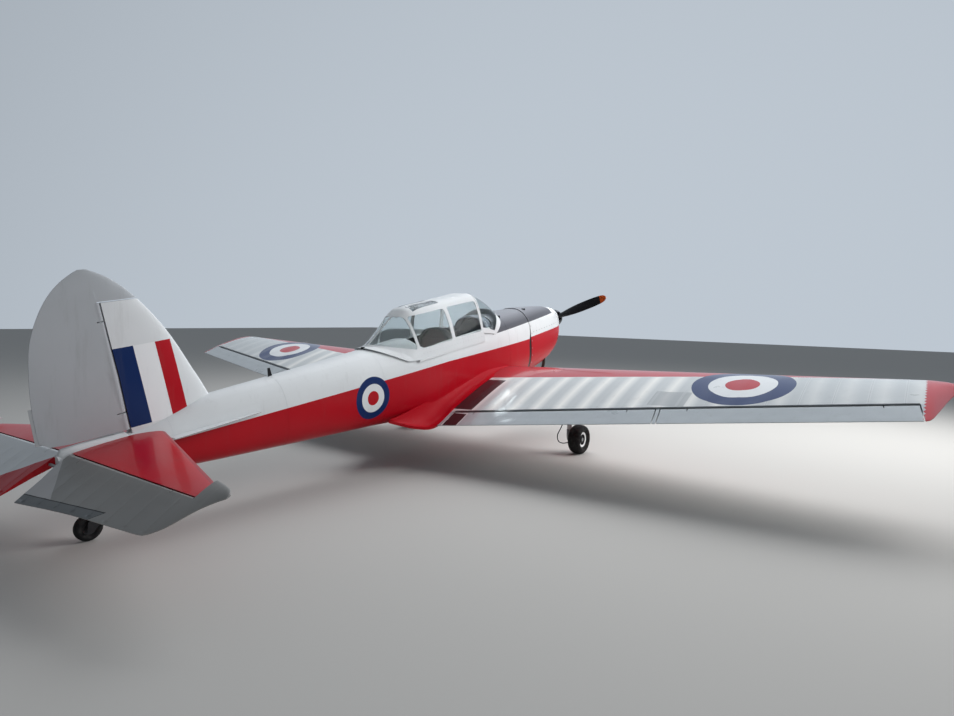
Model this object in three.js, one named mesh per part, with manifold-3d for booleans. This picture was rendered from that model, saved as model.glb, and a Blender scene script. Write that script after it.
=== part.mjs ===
// Light two-seat low-wing trainer aircraft, standing on its wheels.
// Lengths are in millimetres: +X to the port wing, -Y to the nose, +Z up.
// The airframe is drawn level with y measured back from the spinner tip and
// z measured from the propeller shaft, then tipped nose up onto its wheels.
import * as THREE from 'three';
import { mergeVertices } from 'three/addons/utils/BufferGeometryUtils.js';
import Module from 'manifold-3d';

const wasm = await Module();
wasm.setup();
const { Manifold, Mesh } = wasm;

const SEAM = 0.4; // gap between two pieces that sit against each other
const SWING = 8; // gap round a piece that moves

// Shared drawing helpers
function triangulate(ring) {
  const normal = new THREE.Vector3();
  const p = ring.map((v) => new THREE.Vector3(...v));
  p.forEach((a, i) => normal.add(new THREE.Vector3().crossVectors(a, p[(i + 1) % p.length])));
  const n = [Math.abs(normal.x), Math.abs(normal.y), Math.abs(normal.z)];
  const drop = n.indexOf(Math.max(...n));
  const [u, v] = [[1, 2], [0, 2], [0, 1]][drop];
  return THREE.ShapeUtils.triangulateShape(ring.map((q) => new THREE.Vector2(q[u], q[v])), []);
}

function meshSolid(points, faces) {
  const build = (list) => new Manifold(new Mesh({
    numProp: 3,
    vertProperties: new Float32Array(points.flat()),
    triVerts: new Uint32Array(list.flat()),
  }));
  const solid = build(faces);
  return solid.volume() > 0 ? solid : build(faces.map(([a, b, c]) => [a, c, b]));
}

function loft(rings) {
  const count = rings[0].length;
  const faces = [];
  for (let i = 0; i + 1 < rings.length; i += 1) {
    for (let j = 0; j < count; j += 1) {
      const a = i * count + j;
      const b = i * count + ((j + 1) % count);
      faces.push([a, b, a + count], [b, b + count, a + count]);
    }
  }
  const cap = triangulate(rings[0]);
  const area = (ring, t) => {
    const e = new THREE.Vector3().subVectors(new THREE.Vector3(...ring[t[1]]), new THREE.Vector3(...ring[t[0]]));
    const f = new THREE.Vector3().subVectors(new THREE.Vector3(...ring[t[2]]), new THREE.Vector3(...ring[t[0]]));
    return e.cross(f);
  };
  // The first cap must run its edges the other way from the first row of sides.
  const edge = new Set(cap.flatMap(([a, b, c]) => [`${a},${b}`, `${b},${c}`, `${c},${a}`]));
  const sameWay = edge.has('0,1');
  const last = (rings.length - 1) * count;
  const endCap = triangulate(rings[rings.length - 1]);
  const endEdge = new Set(endCap.flatMap(([a, b, c]) => [`${a},${b}`, `${b},${c}`, `${c},${a}`]));
  const endSame = endEdge.has('0,1');
  cap.forEach(([a, b, c]) => faces.push(sameWay ? [a, c, b] : [a, b, c]));
  endCap.forEach(([a, b, c]) => faces.push(endSame ? [last + a, last + b, last + c] : [last + a, last + c, last + b]));
  return meshSolid(rings.flat(), faces);
}

function box(x0, x1, y0, y1, z0, z1) {
  return loft([z0, z1].map((z) => [[x0, y0, z], [x1, y0, z], [x1, y1, z], [x0, y1, z]]));
}

// Values between the rows of a table, following a smooth curve through them.
function at(table, key, value, column) {
  const rows = table;
  let i = rows.findIndex((r) => r[key] > value) - 1;
  if (i < 0) i = value <= rows[0][key] ? 0 : rows.length - 2;
  const slope = (k) => {
    if (k <= 0 || k >= rows.length - 1) return null;
    const left = (rows[k][column] - rows[k - 1][column]) / (rows[k][key] - rows[k - 1][key]);
    const right = (rows[k + 1][column] - rows[k][column]) / (rows[k + 1][key] - rows[k][key]);
    return left * right <= 0 ? 0 : (2 * left * right) / (left + right);
  };
  const [a, b] = [rows[i], rows[i + 1]];
  const span = b[key] - a[key];
  const rise = (b[column] - a[column]) / span;
  const m0 = (slope(i) ?? rise) * span;
  const m1 = (slope(i + 1) ?? rise) * span;
  const t = (value - a[key]) / span;
  return (2 * t ** 3 - 3 * t ** 2 + 1) * a[column] + (t ** 3 - 2 * t ** 2 + t) * m0
    + (-2 * t ** 3 + 3 * t ** 2) * b[column] + (t ** 3 - t ** 2) * m1;
}

function steps(from, to, count) {
  return Array.from({ length: count + 1 }, (_, i) => from + ((to - from) * i) / count);
}

// A round bar or pipe through a list of points, with a radius at each point.
function bar(points, radii, sides = 12) {
  const p = points.map((q) => new THREE.Vector3(...q));
  const rings = p.map((q, i) => {
    const along = new THREE.Vector3().subVectors(p[Math.min(i + 1, p.length - 1)], p[Math.max(i - 1, 0)]).normalize();
    const side = new THREE.Vector3().crossVectors(along, Math.abs(along.x) > 0.9 ? new THREE.Vector3(0, 0, 1)
      : new THREE.Vector3(1, 0, 0)).normalize();
    const up = new THREE.Vector3().crossVectors(side, along);
    const r = Array.isArray(radii) ? radii[i] : radii;
    return Array.from({ length: sides }, (_, j) => {
      const a = (2 * Math.PI * j) / sides;
      return q.clone().addScaledVector(side, r * Math.cos(a)).addScaledVector(up, r * Math.sin(a)).toArray();
    });
  });
  return loft(rings);
}

// A solid turned about a line along x through the point, from a closed outline of [x, radius].
function turned(outline, centre, sides, start = 0) {
  const points = [];
  const faces = [];
  const n = outline.length;
  for (let j = 0; j < sides; j += 1) {
    const a = start + (2 * Math.PI * j) / sides;
    outline.forEach(([x, r]) => points.push([centre[0] + x, centre[1] + r * Math.cos(a), centre[2] + r * Math.sin(a)]));
  }
  for (let j = 0; j < sides; j += 1) {
    const k = (j + 1) % sides;
    for (let i = 0; i < n; i += 1) {
      const m = (i + 1) % n;
      faces.push([j * n + i, j * n + m, k * n + i], [j * n + m, k * n + m, k * n + i]);
    }
  }
  return meshSolid(points, faces);
}

function biggest(solid) {
  return solid.decompose().sort((a, b) => b.volume() - a.volume())[0];
}

function mirrored(solid) {
  return solid.mirror([1, 0, 0]);
}

// A solid drawn in its own frame and placed on a line: x along the line, y back, z up.
function onLine(from, to, solid) {
  const x = new THREE.Vector3(...to).sub(new THREE.Vector3(...from)).normalize();
  const y = new THREE.Vector3(0, 1, 0).addScaledVector(x, -x.y).normalize();
  const z = new THREE.Vector3().crossVectors(x, y);
  const m = [...x.toArray(), 0, ...y.toArray(), 0, ...z.toArray(), 0, ...from, 1];
  return solid.transform(m);
}

function turnAbout(from, to, degrees, solid) {
  const x = new THREE.Vector3(...to).sub(new THREE.Vector3(...from)).normalize();
  const turn = new THREE.Matrix4().makeRotationAxis(x, THREE.MathUtils.degToRad(degrees));
  const m = new THREE.Matrix4().makeTranslation(...from).multiply(turn)
    .multiply(new THREE.Matrix4().makeTranslation(-from[0], -from[1], -from[2]));
  return solid.transform(m.elements.slice());
}

// Standing attitude
const GROUND_ANGLE = 9.0;
const MAIN_WHEEL = { side: 1394, y: 2210, z: -1200, radius: 181, width: 168 };
const TAIL_WHEEL = { y: 7290, radius: 99, width: 70 };
const tip = THREE.MathUtils.degToRad(GROUND_ANGLE);
const height = (y, z) => z * Math.cos(tip) - y * Math.sin(tip);
const floorLevel = height(MAIN_WHEEL.y, MAIN_WHEEL.z) - MAIN_WHEEL.radius;
TAIL_WHEEL.z = (floorLevel + TAIL_WHEEL.radius + TAIL_WHEEL.y * Math.sin(tip)) / Math.cos(tip);

// Fuselage stations: half width, top, bottom, height of the widest line, roundness above and below it
const BODY_START = 1456;
const BODY = [
  { y: BODY_START, half: 318, top: 324, low: -602, waist: -70, above: 2.35, below: 3.4 },
  { y: 2000, half: 350, top: 352, low: -642, waist: -70, above: 2.3, below: 4.2 },
  { y: 2300, half: 358, top: 353, low: -662, waist: -65, above: 2.3, below: 6.0 },
  { y: 2640, half: 362, top: 350, low: -678, waist: -60, above: 2.3, below: 7.0 },
  { y: 3300, half: 361, top: 330, low: -686, waist: -50, above: 2.3, below: 7.0 },
  { y: 3700, half: 352, top: 314, low: -664, waist: -45, above: 2.25, below: 5.0 },
  { y: 3900, half: 346, top: 306, low: -618, waist: -45, above: 2.25, below: 3.4 },
  { y: 4400, half: 315, top: 291, low: -536, waist: -40, above: 2.2, below: 3.0 },
  { y: 5000, half: 268, top: 279, low: -466, waist: -30, above: 2.2, below: 2.8 },
  { y: 5600, half: 218, top: 270, low: -394, waist: -20, above: 2.15, below: 2.6 },
  { y: 6200, half: 166, top: 262, low: -318, waist: -10, above: 2.1, below: 2.5 },
  { y: 6600, half: 130, top: 188, low: -262, waist: -10, above: 2.1, below: 2.4 },
  { y: 6900, half: 100, top: 132, low: -214, waist: -10, above: 2.1, below: 2.3 },
  { y: 7200, half: 66, top: 117, low: -152, waist: 0, above: 2.1, below: 2.2 },
  { y: 7400, half: 38, top: 106, low: -88, waist: 10, above: 2.0, below: 2.0 },
];

function ovalRing(y, half, top, low, waist, above, below, count = 32) {
  return Array.from({ length: count }, (_, j) => {
    const a = (2 * Math.PI * (j + 0.5)) / count;
    const [c, s] = [Math.cos(a), Math.sin(a)];
    const n = s >= 0 ? above : below;
    const x = half * Math.sign(c) * Math.abs(c) ** (2 / n);
    const z = waist + (s >= 0 ? top - waist : waist - low) * Math.sign(s) * Math.abs(s) ** (2 / n);
    return [x, y, z];
  });
}

function bodyRing(y, grow = 0) {
  const v = (column) => at(BODY, 'y', y, column);
  return ovalRing(y, v('half') + grow, v('top') + grow, v('low') - grow, v('waist'), v('above'), v('below'));
}

function bodySolid(from, to, grow, count) {
  return loft(steps(from, to, count).map((y) => bodyRing(y, grow)));
}

// Cockpit: one tub under two openings joined by a slot
const WALL = 38;
const TUB = { from: 1960, to: 4060, floor: -440 };
const OPENING = { from: 2290, to: 3990, half: 283 };

function roundedPrism(x0, x1, y0, y1, z0, z1, r) {
  const shape = [];
  [[x1 - r, y1 - r, 0], [x0 + r, y1 - r, 90], [x0 + r, y0 + r, 180], [x1 - r, y0 + r, 270]].forEach(([cx, cy, a0]) => {
    for (let k = 0; k <= 6; k += 1) {
      const a = THREE.MathUtils.degToRad(a0 + k * 15);
      shape.push([cx + r * Math.cos(a), cy + r * Math.sin(a)]);
    }
  });
  return loft([z0, z1].map((z) => shape.map(([x, y]) => [x, y, z])));
}

const bodyStations = steps(BODY_START, 7400, 26);
const bodyRoom = (grow) => {
  const solid = loft(bodyStations.map((y) => bodyRing(y, grow).map(([x, , z]) => {
    if (y === BODY_START) return [x, y - 16, z];
    return [x, y === 7400 ? y + 5 : y, z];
  })));
  return solid.add(mirrored(solid));
};
const bodyGrown = bodyRoom(SEAM);
const bodyClear = bodyRoom(SWING + 2);
const tub = bodySolid(TUB.from, TUB.to, -WALL, 12).intersect(box(-500, 500, 1000, 5000, TUB.floor, 600));
const opening = roundedPrism(-OPENING.half, OPENING.half, OPENING.from, OPENING.to, -50, 700, 150);
// Rails for the hood along the fuselage sides
const rail = box(300, 363, 2640, 3900, 76, 93.6);
const fuselage = bodySolid(BODY_START, 7400, 0, 26).add(rail).add(mirrored(rail)).subtract(tub).subtract(opening);

// Cowling: a thin shell over the engine, open at the back and at the air intake
const COWL = [
  { y: 312, half: 118, top: 136, low: -205, waist: -10, above: 2.2, below: 2.6 },
  { y: 345, half: 165, top: 172, low: -300, waist: -20, above: 2.2, below: 2.8 },
  { y: 420, half: 202, top: 202, low: -395, waist: -30, above: 2.25, below: 3.0 },
  { y: 600, half: 240, top: 240, low: -490, waist: -50, above: 2.3, below: 3.2 },
  { y: 850, half: 270, top: 275, low: -560, waist: -60, above: 2.35, below: 3.3 },
  { y: 1200, half: 300, top: 313, low: -600, waist: -65, above: 2.35, below: 3.4 },
  { y: 1452, half: 320, top: 333, low: -604, waist: -70, above: 2.35, below: 3.4 },
];
const COWL_WALL = 14;
const COWL_END = 1452;

function cowlRing(y, shrink) {
  const v = (column) => at(COWL, 'y', y, column);
  return ovalRing(y, v('half') - shrink, v('top') - shrink, v('low') + shrink, v('waist'), v('above'), v('below'));
}
const cowlStations = [312, 326, 345, 380, 430, 520, 680, 850, 1100, COWL_END];
const cowlOuter = loft(cowlStations.map((y) => cowlRing(y, 0)));
const cowlInner = loft([330, 380, 430, 520, 680, 850, 1100, COWL_END, 1530]
  .map((y) => cowlRing(Math.min(y, COWL_END), COWL_WALL).map(([x, , z]) => [x, y, z])));
const intake = roundedPrism(40, 150, 200, 420, -150, 60, 30);
const outlet = box(-150, 150, 1240, 1600, -700, -560);
const shaftHole = bar([[0, 200, 0], [0, 420, 0]], 62, 24);
const cowl = cowlOuter.subtract(cowlInner).subtract(intake).subtract(outlet).subtract(shaftHole);

const MOUNT_END = 1429.6;
const mountBar = (side, z0, z1) => bar([[side * 110, 1330, z0], [side * 150, MOUNT_END, z1]], 12, 8);
const engine = roundedPrism(-140, 140, 680, 1340, -430, 50, 40)
  .add(bar([[0, 392.4, 0], [0, 470, 0], [0, 700, 0]], [48, 60, 96], 16))
  .add(mountBar(-1, 10, 60)).add(mountBar(1, 10, 60))
  .add(mountBar(-1, -390, -430)).add(mountBar(1, -390, -430))
  .intersect(box(-400, 400, 300, MOUNT_END, -700, 400));
const firewall = loft([[MOUNT_END + SEAM, 2], [BODY_START - SEAM, 0]]
  .map(([y, less]) => cowlRing(COWL_END, COWL_WALL + SEAM + less).map(([x, , z]) => [x, y, z])));

// Propeller and spinner
const SPINNER = { length: 300, radius: 148 };
const spinnerRings = [3, 20, 55, 105, 165, 230, 296].map((y) => {
  const t = y / SPINNER.length;
  const r = SPINNER.radius * Math.sqrt(1 - (1 - t) ** 2) ** 1.15;
  return Array.from({ length: 26 }, (_, j) => {
    const a = (2 * Math.PI * j) / 26;
    return [r * Math.cos(a), y, r * Math.sin(a)];
  });
});
const PROP = { y: 235, radius: 985, tilt: 20.3 };
const BLADE = [
  { r: 30, chord: 86, thick: 64, pitch: 66 },
  { r: 160, chord: 105, thick: 46, pitch: 52 },
  { r: 300, chord: 135, thick: 28, pitch: 38 },
  { r: 500, chord: 150, thick: 18, pitch: 27 },
  { r: 700, chord: 145, thick: 14, pitch: 21 },
  { r: 880, chord: 122, thick: 11, pitch: 17 },
  { r: 960, chord: 88, thick: 8, pitch: 16 },
  { r: 985, chord: 44, thick: 6, pitch: 16 },
];
function blade(turn) {
  const rings = steps(0, 1, 11).map((t) => {
    const r = 30 + (985 - 30) * t ** 0.85;
    const v = (column) => at(BLADE, 'r', r, column);
    const pitch = THREE.MathUtils.degToRad(v('pitch'));
    const ring = Array.from({ length: 12 }, (_, j) => {
      const a = (2 * Math.PI * j) / 12;
      const [u, w] = [(v('chord') / 2) * Math.cos(a), (v('thick') / 2) * Math.sin(a)];
      return [r, PROP.y + u * Math.sin(pitch) + w * Math.cos(pitch), u * Math.cos(pitch) - w * Math.sin(pitch)];
    });
    return ring;
  });
  return loft(rings).transform(new THREE.Matrix4().makeRotationY(THREE.MathUtils.degToRad(turn)).elements.slice());
}
const spinnerSolid = loft(spinnerRings);
const hub = bar([[0, 120, 0], [0, 392, 0]], [56, 56], 24);
const propeller = blade(PROP.tilt).add(blade(PROP.tilt + 180)).add(hub).subtract(bar([[0, -20, 0], [0, 121, 0]], 160, 24));
const bladeRoom = [0, 180].map((t) => roundedPrism(30, 400, PROP.y - 62, PROP.y + 62, -62, 62, 20)
  .transform(new THREE.Matrix4().makeRotationY(THREE.MathUtils.degToRad(PROP.tilt + t)).elements.slice()));
const spinner = spinnerSolid.subtract(bladeRoom[0]).subtract(bladeRoom[1])
  .subtract(bar([[0, 110, 0], [0, 420, 0]], 57, 24));

// Wing sections at the root and at the tip rib
const WING = {
  root: { x: 330, lead: 1872, leadZ: -474, trail: 3880, trailZ: -668, thick: 0.15 },
  rib: { x: 4925, lead: 2225, leadZ: -178, trail: 3268, trailZ: -236, thick: 0.12 },
  tipX: 5232,
};
// Tip cap outline outside that rib, cut off at a slant behind
const TIP = [
  { x: 4925, lead: 2225, trail: 3268, deep: 125 },
  { x: 4960, lead: 2230, trail: 3226, deep: 123 },
  { x: 5000, lead: 2236, trail: 3060, deep: 114 },
  { x: 5050, lead: 2243, trail: 2810, deep: 96 },
  { x: 5100, lead: 2254, trail: 2585, deep: 72 },
  { x: 5150, lead: 2270, trail: 2445, deep: 46 },
  { x: 5195, lead: 2290, trail: 2378, deep: 24 },
  { x: 5232, lead: 2314, trail: 2340, deep: 6 },
];
const CAMBER = 0.02;
const FOIL = [1, 0.9, 0.78, 0.65, 0.5, 0.36, 0.24, 0.14, 0.07, 0.025, 0.006, 0];

function foilHalf(t, thick) {
  return 5 * thick * (0.2969 * Math.sqrt(t) - 0.126 * t - 0.3516 * t ** 2 + 0.2843 * t ** 3 - 0.1036 * t ** 4);
}
function foilRing(lead, leadZ, trail, trailZ, thick, camber, grow) {
  const chord = Math.hypot(trail - lead, trailZ - leadZ);
  const [cy, cz] = [(trail - lead) / chord, (trailZ - leadZ) / chord];
  const place = (t, w) => {
    const along = chord * t + (t === 0 ? -grow : 0) + (t === 1 ? grow : 0);
    return [lead + along * cy - w * cz, leadZ + along * cz + w * cy];
  };
  const line = (t) => chord * camber * (t < 0.4 ? (0.8 * t - t * t) / 0.16 : (0.2 + 0.8 * t - t * t) / 0.36);
  const blunt = 3;
  const upper = FOIL.map((t) => place(t, line(t) + chord * foilHalf(t, thick) + blunt * t + (t > 0 ? grow : 0)));
  const lower = FOIL.slice(0, -1).reverse().map((t) => place(t, line(t) - chord * foilHalf(t, thick) - blunt * t - grow));
  return [...upper, ...lower];
}
function wingRing(x, grow) {
  const { root, rib } = WING;
  const t = (x - root.x) / (rib.x - root.x);
  const mix = (k) => root[k] + (rib[k] - root[k]) * t;
  let [lead, trail, leadZ, trailZ, thick] = ['lead', 'trail', 'leadZ', 'trailZ', 'thick'].map(mix);
  if (x > rib.x) {
    const v = (column) => at(TIP, 'x', x, column);
    [lead, trail] = [v('lead'), v('trail')];
    leadZ = rib.leadZ + (v('lead') - rib.lead) * -0.05;
    trailZ = leadZ + ((trail - lead) * (rib.trailZ - rib.leadZ)) / (rib.trail - rib.lead);
    thick = v('deep') / (trail - lead);
  }
  return foilRing(lead, leadZ, trail, trailZ, thick, CAMBER, grow).map(([y, z]) => [x, y, z]);
}
const tipStations = [4960, 5000, 5050, 5100, 5150, 5195, WING.tipX];
const wingStations = [200, 1775, 3350, WING.rib.x];
const wingBlank = loft([...wingStations, ...tipStations].map((x) => wingRing(x, 0)));
const wingGrown = loft([...wingStations, ...tipStations].map((x) => wingRing(x, SEAM)));

// A hinged surface: its nose is a long cone about the hinge, and its bay is that cone with room round it
function hingeCut(from, to, r0, r1, room, endRoom) {
  const length = Math.hypot(to[0] - from[0], to[1] - from[1], to[2] - from[2]);
  const slope = (r1 - r0) / length;
  const cone = bar([[-endRoom, 0, 0], [length + endRoom, 0, 0]],
    [r0 - slope * endRoom + room, r1 + slope * endRoom + room], 16);
  return onLine(from, to, cone.add(box(-endRoom, length + endRoom, 0, 900, -500, 500)));
}
function hingeNose(from, to, r0, r1) {
  const length = Math.hypot(to[0] - from[0], to[1] - from[1], to[2] - from[2]);
  return onLine(from, to, bar([[0, 0, 0], [length, 0, 0]], [r0, r1], 14));
}
// Hinge brackets on a line: plates held by the fixed side that end in a round eye, and the slots that they turn in
const PLATE = { thick: 8, play: 0.4 };
function brackets(from, to, r0, r1, places, room) {
  const length = Math.hypot(to[0] - from[0], to[1] - from[1], to[2] - from[2]);
  const made = places.map((t) => {
    const x = length * t;
    const r = r0 + (r1 - r0) * t;
    const [a, b] = [x - PLATE.thick / 2, x + PLATE.thick / 2];
    const eye = r * 0.62;
    const plate = bar([[a, 0, 0], [b, 0, 0]], eye, 8).add(box(a, b, -(r + room + 14), 0, -eye * 0.8, eye * 0.8));
    const slot = bar([[a - PLATE.play, 0, 0], [b + PLATE.play, 0, 0]], r * 1.5, 8);
    return { plate: onLine(from, to, plate), slot: onLine(from, to, slot) };
  });
  return {
    plates: made.map((m) => m.plate).reduce((a, b) => a.add(b)),
    slots: made.map((m) => m.slot).reduce((a, b) => a.add(b)),
  };
}
function hingeAft(from, to) {
  const length = Math.hypot(to[0] - from[0], to[1] - from[1], to[2] - from[2]);
  return onLine(from, to, box(0, length, 0, 900, -500, 500));
}

// Flap and aileron share one hinge line, given at its inner and outer ends
const HINGE = { in: [560, 3602, -607], out: [4905, 3016, -208.5] };
const onHinge = (x) => {
  const t = (x - HINGE.in[0]) / (HINGE.out[0] - HINGE.in[0]);
  return [0, 1, 2].map((k) => HINGE.in[k] + (HINGE.out[k] - HINGE.in[k]) * t);
};
const noseRadius = (x) => 43 + ((x - 560) / 4345) * (33 - 43);
const FLAP = { from: 540, to: 2790 };
const AILERON = { from: 2842, to: 4880 };
function surface(part) {
  const [a, b] = [onHinge(part.from), onHinge(part.to)];
  const [ra, rb] = [noseRadius(part.from), noseRadius(part.to)];
  const held = brackets(a, b, ra, rb, [0.12, 0.88], SWING);
  return {
    from: a,
    to: b,
    solid: biggest(wingBlank.intersect(hingeAft(a, b)).add(hingeNose(a, b, ra, rb)).subtract(held.slots)),
    bay: hingeCut(a, b, ra, rb, SWING, 10),
    plates: held.plates,
  };
}
const flap = surface(FLAP);
const aileron = surface(AILERON);
const rootTrim = box(-10, 300, 1500, 4000, -900, 0);
const wing = biggest(wingBlank.subtract(rootTrim).subtract(flap.bay).subtract(aileron.bay)
  .add(flap.plates).add(aileron.plates).subtract(bodyGrown));

// Wing root fillet: a hollow curve from the fuselage side onto the wing
const FILLET = [
  { y: 1960, z: -420, out: 60, up: 24 },
  { y: 2200, z: -352, out: 104, up: 60 },
  { y: 2600, z: -340, out: 122, up: 96 },
  { y: 3100, z: -408, out: 128, up: 132 },
  { y: 3500, z: -500, out: 134, up: 178 },
  { y: 3800, z: -612, out: 148, up: 236 },
  { y: 3930, z: -632, out: 126, up: 232 },
  { y: 4130, z: -581, out: 68, up: 158 },
  { y: 4270, z: -515, out: 16, up: 78 },
  { y: 4400, z: -450, out: -30, up: 10 },
];
const filletMarks = [1960, 2080, 2200, 2400, 2600, 2850, 3100, 3300, 3500, 3650, 3800, 3870, 3930, 4030, 4130, 4200, 4270,
  4400];
const filletRings = filletMarks.map((y) => {
  const v = (column) => at(FILLET, 'y', y, column);
  const half = at(BODY, 'y', y, 'half') - 14;
  const z = v('z') - 12;
  const out = v('out') + 14;
  const arc = steps(0, 90, 6).map((d) => {
    const a = THREE.MathUtils.degToRad(d);
    return [half + out - out * Math.sin(a), y, z + v('up') - v('up') * Math.cos(a)];
  });
  return [[half - 40, y, z - 30], [half + out, y, z - 30], ...arc, [half - 40, y, z + v('up')]];
});
const fillet = biggest(loft(filletRings).subtract(bodyGrown).subtract(wingGrown)
  .subtract(onLine(flap.from, flap.to, box(-14, 2400, -60, 900, -500, 500))));

// Fin and rudder outline by height
const FIN = [
  { z: 60, lead: 6120, trail: 7400, thick: 104 },
  { z: 220, lead: 6190, trail: 7486, thick: 102 },
  { z: 380, lead: 6255, trail: 7490, thick: 98 },
  { z: 530, lead: 6325, trail: 7482, thick: 92 },
  { z: 700, lead: 6400, trail: 7462, thick: 84 },
  { z: 870, lead: 6488, trail: 7430, thick: 74 },
  { z: 1000, lead: 6572, trail: 7382, thick: 64 },
  { z: 1120, lead: 6662, trail: 7318, thick: 54 },
  { z: 1220, lead: 6755, trail: 7244, thick: 44 },
  { z: 1290, lead: 6840, trail: 7168, thick: 34 },
  { z: 1340, lead: 6925, trail: 7092, thick: 22 },
  { z: 1366, lead: 6985, trail: 7040, thick: 10 },
];
const finRings = [60, 220, 380, 530, 700, 870, 1000, 1120, 1220, 1290, 1330, 1352, 1366].map((z) => {
  const v = (column) => at(FIN, 'z', z, column);
  const chord = v('trail') - v('lead');
  return foilRing(v('lead'), 0, v('trail'), 0, v('thick') / chord, 0, 0).map(([y, x]) => [x, y, z]);
});
const finBlank = loft(finRings);
// The rudder turns on a line that leans back a little
const RUDDER = { from: [0, 6920, 158], to: [0, 6963, 1118], length: 961 };
const rudderLine = (z) => RUDDER.from[1] + ((z - RUDDER.from[2]) * 43) / 960;
const alongRudder = (marks, radii) => onLine(RUDDER.from, RUDDER.to, bar(marks.map((m) => [m, 0, 0]), radii, 16));
const rudderRoom = alongRudder([-62, 402, RUDDER.length], [54, 53, 37.5]);
const rudderNose = alongRudder([0, 402, RUDDER.length], [44, 43, 28]);
const rudderFoot = loft([-100, 100].map((x) => [[x, 6800, 60], [x, 6800, RUDDER.from[2]], [x, 7300, 162], [x, 7430, 176],
  [x, 7494, 224], [x, 7600, 300], [x, 7600, 60]]));
const rudderHeld = brackets(RUDDER.from, RUDDER.to, 43, 27, [0.14, 0.86], SWING);
const behind = (z0, z1) => sidePrism([[rudderLine(z0), z0], [7700, z0], [7700, z1], [rudderLine(z1), z1]], -200, 200);
const ahead = (z0, z1) => sidePrism([[6000, z0], [rudderLine(z0), z0], [rudderLine(z1), z1], [6000, z1]], -200, 200);
const rudder = finBlank.intersect(behind(RUDDER.from[2], 1400)).add(rudderNose)
  .add(finBlank.intersect(box(-200, 200, 6000, 7700, RUDDER.to[2] + 10, 1400))).subtract(rudderFoot)
  .subtract(rudderHeld.slots);
const fin = biggest(finBlank.intersect(ahead(60, RUDDER.to[2])).subtract(rudderRoom)
  .add(rudderHeld.plates).subtract(bodyGrown));

// Stabiliser and elevator outline by distance from the centre line
const TAIL = [
  { x: 20, lead: 6640, trail: 7772, thick: 84 },
  { x: 170, lead: 6690, trail: 7754, thick: 80 },
  { x: 800, lead: 6898, trail: 7684, thick: 62 },
  { x: 1300, lead: 7064, trail: 7650, thick: 48 },
  { x: 1520, lead: 7137, trail: 7632, thick: 40 },
  { x: 1620, lead: 7168, trail: 7556, thick: 34 },
  { x: 1720, lead: 7186, trail: 7380, thick: 27 },
  { x: 1790, lead: 7206, trail: 7300, thick: 19 },
  { x: 1828, lead: 7236, trail: 7268, thick: 9 },
];
const TAIL_Z = 72;
const tailRings = [50, 170, 800, 1300, 1520, 1570, 1620, 1670, 1720, 1760, 1795, 1828].map((x) => {
  const v = (column) => at(TAIL, 'x', x, column);
  const chord = v('trail') - v('lead');
  return foilRing(v('lead'), TAIL_Z, v('trail'), TAIL_Z, v('thick') / chord, 0, 0).map(([y, z]) => [x, y, z]);
});
const tailBlank = loft(tailRings);
const ELEVATOR = { from: [72, 7340, TAIL_Z], to: [1612, 7340, TAIL_Z], r0: 32, r1: 16, droop: -22 };
const elevatorHeld = brackets(ELEVATOR.from, ELEVATOR.to, ELEVATOR.r0, ELEVATOR.r1, [0.12, 0.86], SWING);
const elevatorHorn = box(1622, 1900, 7000, 7700, -200, 300);
const elevatorNotch = loft([-200, 300].map((z) => [[0, 7300, z], [72, 7300, z], [72, 7440, z], [104, 7560, z],
  [126, 7800, z], [0, 7800, z]]));
const elevatorFlat = tailBlank.intersect(hingeAft(ELEVATOR.from, ELEVATOR.to)
  .add(box(1600, 1622.5, 7340, 7700, -200, 300)))
  .add(hingeNose(ELEVATOR.from, ELEVATOR.to, ELEVATOR.r0, ELEVATOR.r1))
  .add(tailBlank.intersect(elevatorHorn)).subtract(elevatorNotch).subtract(elevatorHeld.slots);
const elevator = turnAbout(ELEVATOR.from, ELEVATOR.to, ELEVATOR.droop, elevatorFlat);
const stabiliser = biggest(tailBlank
  .subtract(hingeCut([0, 7340, TAIL_Z], ELEVATOR.to, 32.8, ELEVATOR.r1, SWING, 10))
  .subtract(box(1612, 1900, 7000, 7700, -200, 300)).add(elevatorHeld.plates).subtract(bodyGrown));
const torqueBar = turnAbout(ELEVATOR.from, ELEVATOR.to, ELEVATOR.droop,
  bar([[-71.6, 7428, TAIL_Z], [71.6, 7428, TAIL_Z]], 11, 16));

// Strake ahead of the stabiliser
const strake = biggest(loft([27, 33].map((z) => [[60, 5870, z], [216, 5870, z], [232, 6100, z], [222, 6660, z],
  [60, 6660, z]])).subtract(bodyGrown).subtract(tailBlank));

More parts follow.
